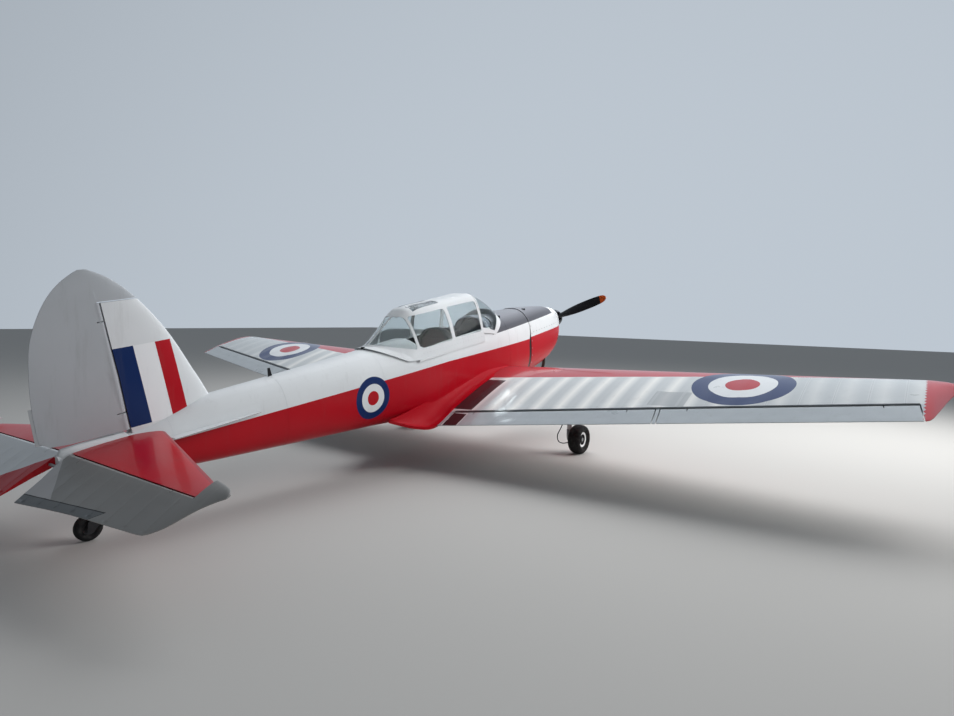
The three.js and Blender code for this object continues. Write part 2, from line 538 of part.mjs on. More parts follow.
// Sliding hood: an outer skin less an inner skin, with its windows cut out
// Its sides lean in towards the roof; lean is the share of the half width that they lose on the way up.
const HOOD = [
  { y: 2600, half: 364, top: 682, low: 95, round: 5.0, lean: 0.28 },
  { y: 2640, half: 364, top: 682, low: 95, round: 5.0, lean: 0.28 },
  { y: 2900, half: 364, top: 673, low: 95, round: 4.4, lean: 0.29 },
  { y: 3260, half: 364, top: 667, low: 95, round: 3.9, lean: 0.3 },
  { y: 3600, half: 360, top: 663, low: 95, round: 3.6, lean: 0.335 },
  { y: 3760, half: 355, top: 648, low: 95, round: 3.3, lean: 0.37 },
  { y: 3860, half: 349, top: 603, low: 95, round: 3.1, lean: 0.39 },
  { y: 3950, half: 345, top: 551, low: 96, round: 2.7, lean: 0.43 },
  { y: 4045, half: 329, top: 492, low: 106, round: 2.4, lean: 0.46 },
  { y: 4100, half: 313, top: 459, low: 130, round: 2.3, lean: 0.48 },
  { y: 4187, half: 276, top: 406, low: 178, round: 2.0, lean: 0.5 },
  { y: 4278, half: 222, top: 350, low: 226, round: 1.8, lean: 0.5 },
  { y: 4340, half: 158, top: 316, low: 260, round: 1.6, lean: 0.5 },
  { y: 4384, half: 84, top: 290, low: 276, round: 1.5, lean: 0.5 },
];
function hoodRing(y, shrink) {
  const v = (column) => at(HOOD, 'y', y, column);
  const half = v('half') - shrink;
  const top = v('top') - shrink;
  const low = v('low');
  const turn = 2 / v('round');
  const foot = low - (shrink ? 40 : 1);
  const arch = steps(0, 180, 16).map((d) => {
    const a = THREE.MathUtils.degToRad(d);
    const c = Math.cos(a);
    const rise = Math.sin(a) ** turn;
    return [half * Math.sign(c) * Math.abs(c) ** turn * (1 - v('lean') * rise), y, low + (top - low) * rise];
  });
  return [[half, y, foot], ...arch, [-half, y, foot]];
}
const hoodStations = [2640, 3260, 3600, 3770, 3860, 3950, 4045, 4187, 4278, 4340, 4384];
const hoodOuter = loft(hoodStations.map((y) => hoodRing(y, 0)));
const hoodInner = loft([2630, ...hoodStations.slice(1, -1), 4362]
  .map((y) => hoodRing(y < 2640 ? 2640 : y, 9).map(([x, , z]) => [x, y, z])));
const glassOuter = loft(hoodStations.map((y) => hoodRing(y, 2.5)));
const glassInner = loft([2630, ...hoodStations.slice(1), 4390].map((y) => hoodRing(Math.min(Math.max(y, 2640), 4384), 6.5)
  .map(([x, , z]) => [x, y, z])));
function sidePrism(outline, x0, x1) {
  return loft([x0, x1].map((x) => outline.map(([y, z]) => [x, y, z])));
}
const PANES = {
  front: [[2672, 216], [3208, 221], [3204, 585], [2668, 592]],
  rear: [[3266, 213], [3830, 206], [3836, 562], [3266, 578]],
  quarter: [[3868, 203], [4180, 285], [4330, 336], [4400, 345], [4400, 578], [3970, 576], [3866, 567]],
};
// The outline moved in by a distance; it runs anticlockwise
function inset(outline, d) {
  return outline.map((p, i) => {
    const before = new THREE.Vector2(...p).sub(new THREE.Vector2(...outline[(i + outline.length - 1) % outline.length])).normalize();
    const after = new THREE.Vector2(...outline[(i + 1) % outline.length]).sub(new THREE.Vector2(...p)).normalize();
    const n0 = new THREE.Vector2(-before.y, before.x);
    const n1 = new THREE.Vector2(-after.y, after.x);
    const k = d / (1 + n0.dot(n1));
    return [p[0] + (n0.x + n1.x) * k, p[1] + (n0.y + n1.y) * k];
  });
}
const glassSkin = glassOuter.subtract(glassInner);
// Behind the glass the hood ends in a skirt that follows the fuselage top
const skirtMarks = [3925, 4080, 4240, 4400];
const skirtSkin = (grow) => loft(skirtMarks.map((y) => bodyRing(y, grow)));
const skirtEdge = [[3925, 95], [3935, 96], [3985, 99], [4045, 108], [4100, 133], [4187, 182], [4278, 230], [4340, 266],
  [4372, 283], [4400, 300]];
const aboveEdge = sidePrism([...skirtEdge, [4401, 700], [2600, 700], [2600, 60], [3924, 60]], -520, 520);
const skirt = skirtSkin(19).subtract(skirtSkin(SWING + 2).intersect(box(-500, 500, 3000, 5000, -700, 700)))
  .subtract(bodyClear).intersect(aboveEdge);
let hood = hoodOuter.subtract(hoodInner).subtract(bodyClear).intersect(aboveEdge).add(skirt.subtract(hoodInner));
const SPINE = 12; // half width of the strip between the two rear panes
const panes = {};
const hoodFoot = bodyClear.add(skirtSkin(19 + SEAM));
Object.entries(PANES).forEach(([name, outline]) => {
  const cut = sidePrism(outline, SPINE, 520);
  const opened = name === 'quarter' ? cut.subtract(skirtSkin(19)) : cut;
  hood = hood.subtract(opened).subtract(mirrored(opened));
  panes[name] = biggest(glassSkin.subtract(hoodFoot).intersect(sidePrism(inset(outline, SEAM), SPINE + SEAM, 520)));
});
const roofCut = box(34, 160, 3262, 3728, 560, 800);
hood = biggest(hood.subtract(roofCut).subtract(mirrored(roofCut)));
const roofPane = biggest(glassSkin.intersect(box(34.5, 159.5, 3262.5, 3727.5, 560, 800)));

// Windscreen: a bent sheet from its base on the deck up to the arch ahead of the hood
function sheetSolid(grid, shallow, deep) {
  const rows = grid.length;
  const cols = grid[0].length;
  const p = grid.map((row) => row.map((q) => new THREE.Vector3(...q)));
  const moved = (depth) => p.map((row, i) => row.map((q, j) => {
    const du = new THREE.Vector3().subVectors(p[i][Math.min(j + 1, cols - 1)], p[i][Math.max(j - 1, 0)]);
    const dv = new THREE.Vector3().subVectors(p[Math.min(i + 1, rows - 1)][j], p[Math.max(i - 1, 0)][j]);
    const n = new THREE.Vector3().crossVectors(du, dv).normalize();
    return q.clone().addScaledVector(n, depth);
  }));
  const points = [...moved(shallow).flat(), ...moved(deep).flat()].map((q) => q.toArray());
  const half = rows * cols;
  const faces = [];
  const id = (i, j) => i * cols + j;
  for (let i = 0; i + 1 < rows; i += 1) {
    for (let j = 0; j + 1 < cols; j += 1) {
      const [a, b, c, d] = [id(i, j), id(i, j + 1), id(i + 1, j), id(i + 1, j + 1)];
      faces.push([a, b, c], [b, d, c], [half + a, half + c, half + b], [half + b, half + c, half + d]);
    }
  }
  const rim = [];
  for (let j = 0; j + 1 < cols; j += 1) rim.push([id(0, j), id(0, j + 1)]);
  for (let i = 0; i + 1 < rows; i += 1) rim.push([id(i, cols - 1), id(i + 1, cols - 1)]);
  for (let j = cols - 1; j > 0; j -= 1) rim.push([id(rows - 1, j), id(rows - 1, j - 1)]);
  for (let i = rows - 1; i > 0; i -= 1) rim.push([id(i, 0), id(i - 1, 0)]);
  rim.forEach(([a, b]) => faces.push([b, a, half + a], [b, half + a, half + b]));
  return meshSolid(points, faces);
}
function screenPoint(u, v) {
  const a = Math.PI * u;
  const c = Math.cos(a);
  const rise = Math.sin(a) ** 0.8;
  const topX = 354 * Math.sign(c) * (1 - 0.26 * rise) * Math.max(0, 1 - rise ** 5) ** 0.2;
  const topZ = 95 + (680 - 95) * rise;
  const baseX = 345 * Math.sign(c) * Math.abs(c) ** 0.9;
  const baseY = 2440 - 400 * Math.sin(a) ** 0.8;
  const baseZ = 95 + 262 * Math.sin(a) ** 0.9;
  const bulge = 34 * Math.sin(Math.PI * v);
  return [baseX + (topX - baseX) * v, baseY + (2628 - baseY) * v - bulge * Math.sin(a),
    baseZ + (topZ - baseZ) * v + bulge * 0.5 * Math.sin(a)];
}
function screenSheet(u0, u1, v0, v1, shallow, deep) {
  return sheetSolid(steps(v0, v1, 5).map((v) => steps(u0, u1, 14).map((u) => screenPoint(u, v))), shallow, deep);
}
const screenFull = screenSheet(0.03, 0.97, -0.06, 1, 0, 9).subtract(bodyGrown);
const screenGlass = biggest(screenSheet(0.0645, 0.9355, 0.1705, 0.964, 2.5, 6.5).subtract(bodyGrown));
const screenHole = screenSheet(0.062, 0.938, 0.1685, 0.966, -20, 30);
const screenFrame = biggest(screenFull.subtract(screenHole));

// Seats, panels and sticks in the two cockpits
function seat(y) {
  const pan = roundedPrism(-205, 205, y - 190, y + 190, -250, -190, 40);
  const back = loft([[0, -250], [95, 130]].map(([dy, z]) => [[-200, y + 170 + dy, z], [200, y + 170 + dy, z],
    [200, y + 215 + dy, z], [-200, y + 215 + dy, z]]));
  const legs = box(-180, 180, y - 120, y + 150, TUB.floor + SEAM, -249);
  return pan.add(back).add(legs);
}
const seatFront = seat(2800);
const seatRear = seat(3560);
const panelFront = bodySolid(2330, 2352, -WALL - SEAM, 1).intersect(box(-400, 400, 2000, 3000, -190, 290));
const panelRear = bodySolid(3130, 3152, -WALL - SEAM, 1).intersect(box(-400, 400, 2000, 4000, -190, 200))
  .subtract(roundedPrism(-120, 120, 3000, 3300, -200, -60, 30));
const stick = (y) => bar([[0, y, TUB.floor + SEAM], [0, y, TUB.floor + 30], [0, y + 10, -300], [0, y - 20, -120],
  [0, y - 15, -20]], [16, 13, 11, 11, 16], 12);

// Main landing gear: leg, axle, wheel
function tyreSolid(x, y, z, radius, width, rimRadius, sides) {
  const h = width / 2;
  const outline = [[-h * 0.62, rimRadius], [-h * 0.93, rimRadius + (radius - rimRadius) * 0.3],
    [-h, rimRadius + (radius - rimRadius) * 0.52], [-h * 0.86, rimRadius + (radius - rimRadius) * 0.8],
    [-h * 0.56, radius * 0.985], [-h * 0.22, radius], [h * 0.22, radius], [h * 0.56, radius * 0.985],
    [h * 0.86, rimRadius + (radius - rimRadius) * 0.8], [h, rimRadius + (radius - rimRadius) * 0.52],
    [h * 0.93, rimRadius + (radius - rimRadius) * 0.3], [h * 0.62, rimRadius]];
  return turned(outline, [x, y, z], sides, tip - Math.PI / 2 + Math.PI / sides);
}
function rimSolid(x, y, z, rimRadius, width, bore, sides) {
  const r = rimRadius - 0.5;
  const h = width / 2;
  return turned([[-h * 0.62, r], [-h * 0.62, r - 10], [-h * 0.2, r - 22], [-h * 0.2, bore + 24], [-h * 0.55, bore + 18],
    [-h * 0.55, bore], [h * 0.55, bore], [h * 0.55, bore + 18], [h * 0.2, bore + 24], [h * 0.2, r - 22],
    [h * 0.62, r - 10], [h * 0.62, r]], [x, y, z], sides);
}
const wheelAt = [MAIN_WHEEL.side, MAIN_WHEEL.y, MAIN_WHEEL.z];
const tyre = tyreSolid(...wheelAt, MAIN_WHEEL.radius, MAIN_WHEEL.width, 96, 34);
const rim = rimSolid(...wheelAt, 96, MAIN_WHEEL.width, 21, 20);
const LEG = { x: 1262 };
const leg = bar([[LEG.x, 2152, -498], [LEG.x, 2160, -640], [LEG.x, 2172, -800], [LEG.x, 2174, -801],
  [LEG.x, 2198, -1130]], [56, 52, 50, 36, 34], 16)
  .add(bar([[LEG.x, 2198, -1120], [LEG.x, 2210, -1200], [LEG.x, 2213, -1232]], [36, 34, 28], 16))
  .add(bar([[LEG.x, 2210, -1200], [MAIN_WHEEL.side + 52, 2210, -1200]], 20.4, 16));
const brake = turned([[-6, 20.9], [-6, 74], [8, 74], [8, 20.9]], [LEG.x + 46, MAIN_WHEEL.y, MAIN_WHEEL.z], 20);
const legTrim = biggest(leg.subtract(bodyGrown));
const legTop = (grow) => bar([[LEG.x, 2152, -498 + grow], [LEG.x, 2160, -640]], [56 + grow, 52 + grow], 16);
const wingFinal = biggest(wing.subtract(legTop(SEAM)));
const hose = bar([[LEG.x, 2221.7, -880], [LEG.x - 14, 2280, -930], [LEG.x - 58, 2310, -1040], [LEG.x - 88, 2355, -1130],
  [LEG.x - 84, 2350, -1210], [LEG.x - 50, 2300, -1250], [LEG.x - 4, 2236, -1254], [LEG.x + 28, 2224, -1250], [LEG.x + 39.6, 2224, -1250]], 6, 8);

// Tail wheel: spring leg, castoring fork and wheel
const tailAt = [0, TAIL_WHEEL.y, TAIL_WHEEL.z];
const tailTyre = tyreSolid(...tailAt, TAIL_WHEEL.radius, TAIL_WHEEL.width, 50, 24);
const tailRim = rimSolid(...tailAt, 50, TAIL_WHEEL.width, 11, 18);
const CASTOR = { y: 7205, from: -300 };
const forkPlate = (x) => loft([x, x + 7].map((q) => [[q, 7170, -366], [q, 7240, -366], [q, 7312, -430],
  [q, 7316, TAIL_WHEEL.z - 24], [q, 7274, TAIL_WHEEL.z - 26], [q, 7168, -400]]));
const forkLevel = forkPlate(44).add(forkPlate(-51)).add(box(-51, 51, 7168, 7242, -370, -351))
  .add(bar([[-51, TAIL_WHEEL.y, TAIL_WHEEL.z], [51, TAIL_WHEEL.y, TAIL_WHEEL.z]], 10.6, 16));
// The castor post stands upright when the aircraft is parked
const upright = (solid) => turnAbout(tailAt, [1, tailAt[1], tailAt[2]], GROUND_ANGLE, solid);
const fork = upright(forkLevel);
const tailLeg = biggest(bar([[0, 7060, -110], [0, 7120, -215], [0, 7202, -292]], [34, 30, 26], 16)
  .add(upright(bar([[0, CASTOR.y, -350.6], [0, CASTOR.y, -268]], 27, 16))).subtract(bodyGrown));

// Small fittings
const exhaust = bar([[-190, 900, -500], [-190, 925, -590], [-190, 985, -665], [-190, 1050, -706]], [24, 24, 23, 22], 16)
  .subtract(bar([[-190, 1000, -675], [-190, 1052, -708]], [17, 17], 12));
const cowlFinal = biggest(cowl.subtract(bar([[-190, 894, -478], [-190, 925, -590], [-190, 985, -665]], [24.4, 24.4, 23.4], 16)));
const pitotTube = biggest(bar([[3900, 1950, -246], [3900, 2100, -246], [3900, 2176, -246]], [7, 8, 9], 10).subtract(wingGrown));
const aerial = loft([268, 345].map((z, i) => [[-3, 5560 + 14 * i, z], [3, 5560 + 14 * i, z], [3, 5604 - 6 * i, z], [-3, 5604 - 6 * i, z]]));

const paint = {
  white: new THREE.MeshStandardMaterial({ name: 'white_paint', color: 0xe4e7e8, roughness: 0.35 }),
  red: new THREE.MeshStandardMaterial({ name: 'red_paint', color: 0xb10d1c, roughness: 0.35 }),
  silver: new THREE.MeshStandardMaterial({ name: 'silver_paint', color: 0xaeb3b7, roughness: 0.4 }),
  black: new THREE.MeshStandardMaterial({ name: 'black_paint', color: 0x17181a, roughness: 0.45 }),
  glass: new THREE.MeshStandardMaterial({ name: 'clear_glass', color: 0xa9bcc0, roughness: 0.05, transparent: true, opacity: 0.4 }),
  metal: new THREE.MeshStandardMaterial({ name: 'bare_metal', color: 0x8d9296, roughness: 0.4, metalness: 0.8 }),
  tyre: new THREE.MeshStandardMaterial({ name: 'tyre_rubber', color: 0x1a1a1b, roughness: 0.9 }),
  hose: new THREE.MeshStandardMaterial({ name: 'black_rubber', color: 0x141414, roughness: 0.8 }),
  leather: new THREE.MeshStandardMaterial({ name: 'seat_cover', color: 0x3a2c27, roughness: 0.8 }),
};

const level = new THREE.Group();
function put(name, solid, material) {
  const mesh = solid.simplify(0.1).getMesh();
  const positions = new Float32Array(mesh.numVert * 3);
  for (let i = 0; i < mesh.numVert; i += 1) {
    for (let k = 0; k < 3; k += 1) positions[3 * i + k] = mesh.vertProperties[mesh.numProp * i + k];
  }
  let geometry = new THREE.BufferGeometry();
  geometry.setAttribute('position', new THREE.BufferAttribute(positions, 3));
  geometry.setIndex(new THREE.BufferAttribute(new Uint32Array(mesh.triVerts), 1));
  geometry = mergeVertices(geometry, 1e-4);
  const piece = new THREE.Mesh(geometry, material.clone());
  piece.name = name;
  level.add(piece);
}
function pair(name, solid, material) {
  put(`${name}_left`, solid, material);
  put(`${name}_right`, mirrored(solid), material);
}

put('fuselage', fuselage, paint.white);
put('firewall', firewall, paint.metal);
put('cowling', cowlFinal, paint.white);
put('engine', engine, paint.metal);
put('spinner', biggest(spinner), paint.black);
put('propeller', biggest(propeller), paint.black);
pair('wing', wingFinal, paint.silver);
pair('wing_fillet', fillet, paint.red);
pair('flap', flap.solid, paint.silver);
pair('aileron', aileron.solid, paint.silver);
put('fin', fin, paint.white);
put('rudder', biggest(rudder), paint.white);
pair('stabiliser', stabiliser, paint.red);
pair('elevator', biggest(elevator), paint.silver);
put('elevator_bar', torqueBar, paint.silver);
pair('strake', strake, paint.white);
put('hood_frame', hood, paint.white);
Object.entries(panes).forEach(([name, solid]) => pair(`hood_pane_${name}`, solid, paint.glass));
pair('hood_pane_roof', roofPane, paint.glass);
put('windscreen_frame', screenFrame, paint.white);
put('windscreen', screenGlass, paint.glass);
put('seat_front', seatFront, paint.leather);
put('seat_rear', seatRear, paint.leather);
put('panel_front', biggest(panelFront), paint.black);
put('panel_rear', biggest(panelRear), paint.black);
put('stick_front', stick(2560), paint.metal);
put('stick_rear', stick(3330), paint.metal);
pair('gear_leg', legTrim, paint.metal);
pair('brake', brake, paint.metal);
pair('brake_hose', hose, paint.hose);
pair('tyre', tyre, paint.tyre);
pair('wheel', rim, paint.white);
put('tail_leg', tailLeg, paint.metal);
put('tail_fork', biggest(fork), paint.metal);
put('tail_tyre', tailTyre, paint.tyre);
put('tail_wheel', tailRim, paint.metal);
put('exhaust', biggest(exhaust), paint.metal);
put('pitot', pitotTube, paint.metal);
put('aerial', biggest(aerial.subtract(bodyGrown)), paint.black);

// Tip the level airframe back onto its tail wheel and centre it on the floor
level.rotation.x = -tip;
level.updateMatrixWorld(true);
const bounds = new THREE.Box3().setFromObject(level, true);
level.position.set(0, -(bounds.min.y + bounds.max.y) / 2, -bounds.min.z);

const part = new THREE.Group();
part.name = 'trainer_aircraft';
part.add(level);
part.updateMatrixWorld(true);

export default part;
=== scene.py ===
# Light two-seat trainer aircraft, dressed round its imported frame.
# Lengths are in metres: +X to the port wing, -Y to the nose, +Z up.
import math

import bmesh
import bpy
from mathutils import Matrix, Vector


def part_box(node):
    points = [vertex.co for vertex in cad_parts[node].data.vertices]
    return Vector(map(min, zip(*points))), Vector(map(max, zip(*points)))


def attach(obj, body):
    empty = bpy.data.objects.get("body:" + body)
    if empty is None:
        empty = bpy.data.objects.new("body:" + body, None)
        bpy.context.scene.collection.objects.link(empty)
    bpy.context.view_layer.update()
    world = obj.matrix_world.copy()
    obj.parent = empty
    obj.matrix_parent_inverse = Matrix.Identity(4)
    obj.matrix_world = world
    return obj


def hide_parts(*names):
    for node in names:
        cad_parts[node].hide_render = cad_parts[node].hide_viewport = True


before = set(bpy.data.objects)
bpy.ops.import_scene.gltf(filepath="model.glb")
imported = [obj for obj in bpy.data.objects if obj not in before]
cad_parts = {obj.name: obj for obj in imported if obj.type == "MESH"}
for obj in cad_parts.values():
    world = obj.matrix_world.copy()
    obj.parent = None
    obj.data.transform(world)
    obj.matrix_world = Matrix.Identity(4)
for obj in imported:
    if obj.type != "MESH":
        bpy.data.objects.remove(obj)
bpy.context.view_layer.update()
scene = bpy.context.scene

# Standing attitude
# The airframe is drawn level: x to port, y back from the spinner tip, z up from the propeller shaft.
# It stands nose up on its tail wheel, and the port main wheel, known in both frames, ties the two together.
NOSE_UP = math.radians(9.0)
MAIN_HUB = Vector((1.394, 2.210, -1.200))
tip_back = Matrix.Rotation(-NOSE_UP, 4, "X")
low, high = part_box("tyre_left")
LEVEL = Matrix.Translation((low + high) / 2 - tip_back @ MAIN_HUB) @ tip_back
low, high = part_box("tail_tyre")
TAIL_HUB = LEVEL.inverted() @ ((low + high) / 2)

# Camera of the photograph
# It stood about 1.7 m above the ground behind the starboard wing and looked towards the nose.
eye = Vector((-4.92932, 9.10813, 1.44652))
forward = Vector((0.57767, -0.79266, -0.19496)).normalized()
upward = Vector((0.05882, -0.19785, 0.97846))
sideways = forward.cross(upward).normalized()
upward = sideways.cross(forward)
view = Matrix((sideways, upward, -forward)).transposed().to_4x4()
camera_data = bpy.data.cameras.new("photo_camera")
camera_data.sensor_width = 36.0
camera_data.lens = 36.0 * 639.73 / 954
camera_data.clip_end = 300
camera = bpy.data.objects.new("photo_camera", camera_data)
camera.matrix_world = LEVEL @ Matrix.Translation(eye) @ view
scene.collection.objects.link(camera)
scene.camera = camera

# Studio
# A plain pale floor under a sky that is brighter towards the nose.
# Two large soft lamps hang over the nose and the wings, and a weak one beside the tail.
FLOOR_SIZE = 90.0
floor_mesh = bpy.data.meshes.new("studio_floor")
corner = FLOOR_SIZE / 2
floor_mesh.from_pydata(
    [(-corner, -corner, 0), (corner, -corner, 0), (corner, corner, 0), (-corner, corner, 0)], [],
    [(0, 1, 2, 3)]
)
floor = bpy.data.objects.new("studio_floor", floor_mesh)
scene.collection.objects.link(floor)
floor_mesh.materials.append(bpy.data.materials.new("pale_floor"))
floor_mesh.materials[0].use_nodes = True


class Field:
    """A number or colour that changes over a surface. Arithmetic with it adds math nodes to its tree."""

    def __init__(self, socket):
        self.socket = socket
        self.tree = socket.id_data

    def __add__(self, other):
        return calc("ADD", self, other)

    def __sub__(self, other):
        return calc("SUBTRACT", self, other)

    def __rsub__(self, other):
        return calc("SUBTRACT", other, self)

    def __mul__(self, other):
        return calc("MULTIPLY", self, other)

    def __truediv__(self, other):
        return calc("DIVIDE", self, other)

    def __mod__(self, other):
        return calc("MODULO", self, other)

    def __lt__(self, other):
        return calc("LESS_THAN", self, other)

    def __gt__(self, other):
        return calc("GREATER_THAN", self, other)

    def __abs__(self):
        return calc("ABSOLUTE", self)


def plug(made, sockets):
    """Links a node's inputs to fields and sockets, or gives them plain values."""
    for name, value in dict(sockets).items():
        if isinstance(value, Field):
            value = value.socket
        if isinstance(value, bpy.types.NodeSocket):
            made.id_data.links.new(value, made.inputs[name])
        else:
            made.inputs[name].default_value = value


def node(tree, kind, sockets=(), **settings):
    """A node with its settings and sockets."""
    made = tree.nodes.new(kind)
    for name, value in settings.items():
        setattr(made, name, value)
    plug(made, sockets)
    return made


def field(tree, kind, sockets=(), output=0, **settings):
    """One output of a new node."""
    return Field(node(tree, kind, sockets, **settings).outputs[output])


def calc(operation, *values):
    """One step of arithmetic between fields and numbers."""
    tree = next(value.tree for value in values if isinstance(value, Field))
    return field(tree, "ShaderNodeMath", enumerate(values), operation=operation)


FLOOR_LOOK = {"Base Color": (0.46, 0.45, 0.43, 1), "Roughness": 0.85}
plug(floor_mesh.materials[0].node_tree.nodes["Principled BSDF"], FLOOR_LOOK)
SKY_BRIGHT_WAY = (0.25, -0.95, -0.30)
sky = bpy.data.worlds.new("studio_sky")
sky.use_nodes = True
direction = field(sky.node_tree, "ShaderNodeTexCoord", output="Generated")
turned_to = {0: direction, 1: SKY_BRIGHT_WAY}
ahead = field(sky.node_tree, "ShaderNodeVectorMath", turned_to, "Value", operation="DOT_PRODUCT")
SKY_RANGE = {"From Min": -0.7, "From Max": 1.0, "To Min": 0.14, "To Max": 0.66}
brightness = field(sky.node_tree, "ShaderNodeMapRange", {"Value": ahead, **SKY_RANGE},
                   interpolation_type="SMOOTHSTEP")
plug(sky.node_tree.nodes["Background"], {"Strength": brightness, "Color": (0.78, 0.87, 0.97, 1)})
scene.world = sky
scene.view_settings.view_transform = "Standard"


def lamp(name, place, aim, power, tint):
    """A square area lamp at a place, turned to face a point. It doesn't show in glossy paint."""
    data = bpy.data.lights.new(name, "AREA")
    data.size = 6.0
    data.energy = power
    data.color = tint
    light = bpy.data.objects.new(name, data)
    turn = (Vector(aim) - Vector(place)).to_track_quat("-Z", "Y").to_matrix().to_4x4()
    light.matrix_world = Matrix.Translation(place) @ turn
    light.visible_glossy = False
    light.visible_camera = False
    scene.collection.objects.link(light)


COOL = (0.95, 0.97, 1.0)
lamp("key_lamp", (-6, -6, 6), (0, -1, 1), 820, (1, 1, 1))
lamp("overhead_lamp", (2, -5, 8), (0, -2, 1), 620, COOL)
lamp("tail_lamp", (-9, 8, 4), (0, 3, 1), 90, COOL)

# Fuselage skin
# A riveted aluminium shell on frames, white above a side stripe and bright red below it.
# Overlapping sheets meet at the frames, and two rails along the sill carry the sliding hood.
BODY_FRONT = 1.456
BODY = [
    # station, half width, top, bottom, height of the widest line, roundness above and below it
    (BODY_FRONT, 0.318, 0.324, -0.602, -0.070, 2.35, 3.4),
    (2.000, 0.350, 0.352, -0.642, -0.070, 2.30, 4.2),
    (2.300, 0.358, 0.353, -0.662, -0.065, 2.30, 6.0),
    (2.640, 0.362, 0.350, -0.678, -0.060, 2.30, 7.0),
    (3.300, 0.361, 0.330, -0.686, -0.050, 2.30, 7.0),
    (3.700, 0.352, 0.314, -0.664, -0.045, 2.25, 5.0),
    (3.900, 0.346, 0.306, -0.618, -0.045, 2.25, 3.4),
    (4.400, 0.315, 0.291, -0.536, -0.040, 2.20, 3.0),
    (5.000, 0.268, 0.279, -0.466, -0.030, 2.20, 2.8),
    (5.600, 0.218, 0.270, -0.394, -0.020, 2.15, 2.6),
    (6.200, 0.166, 0.262, -0.318, -0.010, 2.10, 2.5),
    (6.600, 0.130, 0.188, -0.262, -0.010, 2.10, 2.4),
    (6.900, 0.100, 0.132, -0.214, -0.010, 2.10, 2.3),
    (7.200, 0.066, 0.117, -0.152, 0.000, 2.10, 2.2),
    (7.400, 0.038, 0.106, -0.088, 0.010, 2.00, 2.0),
]
SHEET_JOINTS = (2.06, 2.62, 3.26, 3.92, 4.43, 5.02, 5.60, 6.18, 6.62)
LAP = 0.0009
COCKPIT_WALL = 0.038
COCKPIT_FLOOR = -0.440


def along(table, value, column):
    """A value from a table's column at a station, on a smooth curve through its rows."""
    last = len(table) - 1
    i = max((k for k in range(last) if table[k][0] <= value), default=0)

    def slope(k):
        if k <= 0 or k >= last:
            return None
        left = (table[k][column] - table[k - 1][column]) / (table[k][0] - table[k - 1][0])
        right = (table[k + 1][column] - table[k][column]) / (table[k + 1][0] - table[k][0])
        return 0.0 if left * right <= 0 else 2 * left * right / (left + right)

    (a, b), span = (table[i], table[i + 1]), table[i + 1][0] - table[i][0]
    rise = (b[column] - a[column]) / span
    first, second = slope(i), slope(i + 1)
    m0 = (rise if first is None else first) * span
    m1 = (rise if second is None else second) * span
    t = (value - a[0]) / span
    return (
        (2 * t**3 - 3 * t**2 + 1) * a[column] + (t**3 - 2 * t**2 + t) * m0
        + (3 * t**2 - 2 * t**3) * b[column] + (t**3 - t**2) * m1
    )


def spread(start, end, count):
    return [start + (end - start) * k / count for k in range(count + 1)]


def power(value, exponent):
    return math.copysign(abs(value) ** exponent, value)


def body_ring(y, grow=0.0, count=96):
    half, top, low, waist, above, below = (along(BODY, y, k) for k in range(1, 7))
    ring = []
    for k in range(count):
        a = 2 * math.pi * (k + 0.5) / count
        c, s = math.cos(a), math.sin(a)
        n = above if s >= 0 else below
        reach = (top - waist if s >= 0 else waist - low) + grow
        ring.append((power(c, 2 / n) * (half + grow), y, waist + power(s, 2 / n) * reach))
    return ring


def loft(name, rings):
    """A closed mesh through rings of points, drawn in the level frame and placed in the part's frame."""
    count = len(rings[0])
    points = [LEVEL @ Vector(p) for ring in rings for p in ring]
    faces = [
        (i * count + j, i * count + (j + 1) % count, (i + 1) * count + (j + 1) % count, (i + 1) * count + j)
        for i in range(len(rings) - 1) for j in range(count)
    ]
    faces.append(tuple(reversed(range(count))))
    faces.append(tuple(range((len(rings) - 1) * count, len(rings) * count)))
    return solid(name, points, faces)


def solid(name, points, faces):
    """A mesh object with its faces turned outwards."""
    mesh = bpy.data.meshes.new(name)
    mesh.from_pydata([tuple(p) for p in points], [], faces)
    shape = bmesh.new()
    shape.from_mesh(mesh)
    bmesh.ops.recalc_face_normals(shape, faces=shape.faces)
    shape.to_mesh(mesh)
    shape.free()
    piece = bpy.data.objects.new(name, mesh)
    scene.collection.objects.link(piece)
    return piece


def block(name, x, y, z):
    return loft(name, [[(x[0], y[0], h), (x[1], y[0], h), (x[1], y[1], h), (x[0], y[1], h)] for h in z])


def settle(piece):
    """Turns a piece's modifiers into its mesh."""
    scene.view_layers[0].update()
    shaped = bpy.data.meshes.new_from_object(piece.evaluated_get(bpy.context.evaluated_depsgraph_get()))
    old = piece.data
    piece.modifiers.clear()
    piece.data = shaped
    shaped.name = piece.name
    bpy.data.meshes.remove(old)
    return piece


def combine(piece, others, how="DIFFERENCE", keep=False):
    """Cuts, joins or meets a solid with others, which are used up unless kept."""
    for other in others:
        tool = piece.modifiers.new(how.lower(), "BOOLEAN")
        tool.operation = how
        tool.solver = "MANIFOLD"
        tool.object = other
    settle(piece)
    if not keep:
        for other in others:
            bpy.data.objects.remove(other)
    return piece


def finish_piece(piece, material, body="airframe", slot=None, nodes=(), sharp=32):
    """Gives a piece its shading and material, the body that it moves with and the solids it stands for."""
    mesh = piece.data
    mesh.shade_smooth()
    mesh.set_sharp_from_angle(angle=math.radians(sharp))
    mesh.materials.clear()
    mesh.materials.append(material)
    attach(piece, body)
    if nodes:
        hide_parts(*nodes)
    return piece


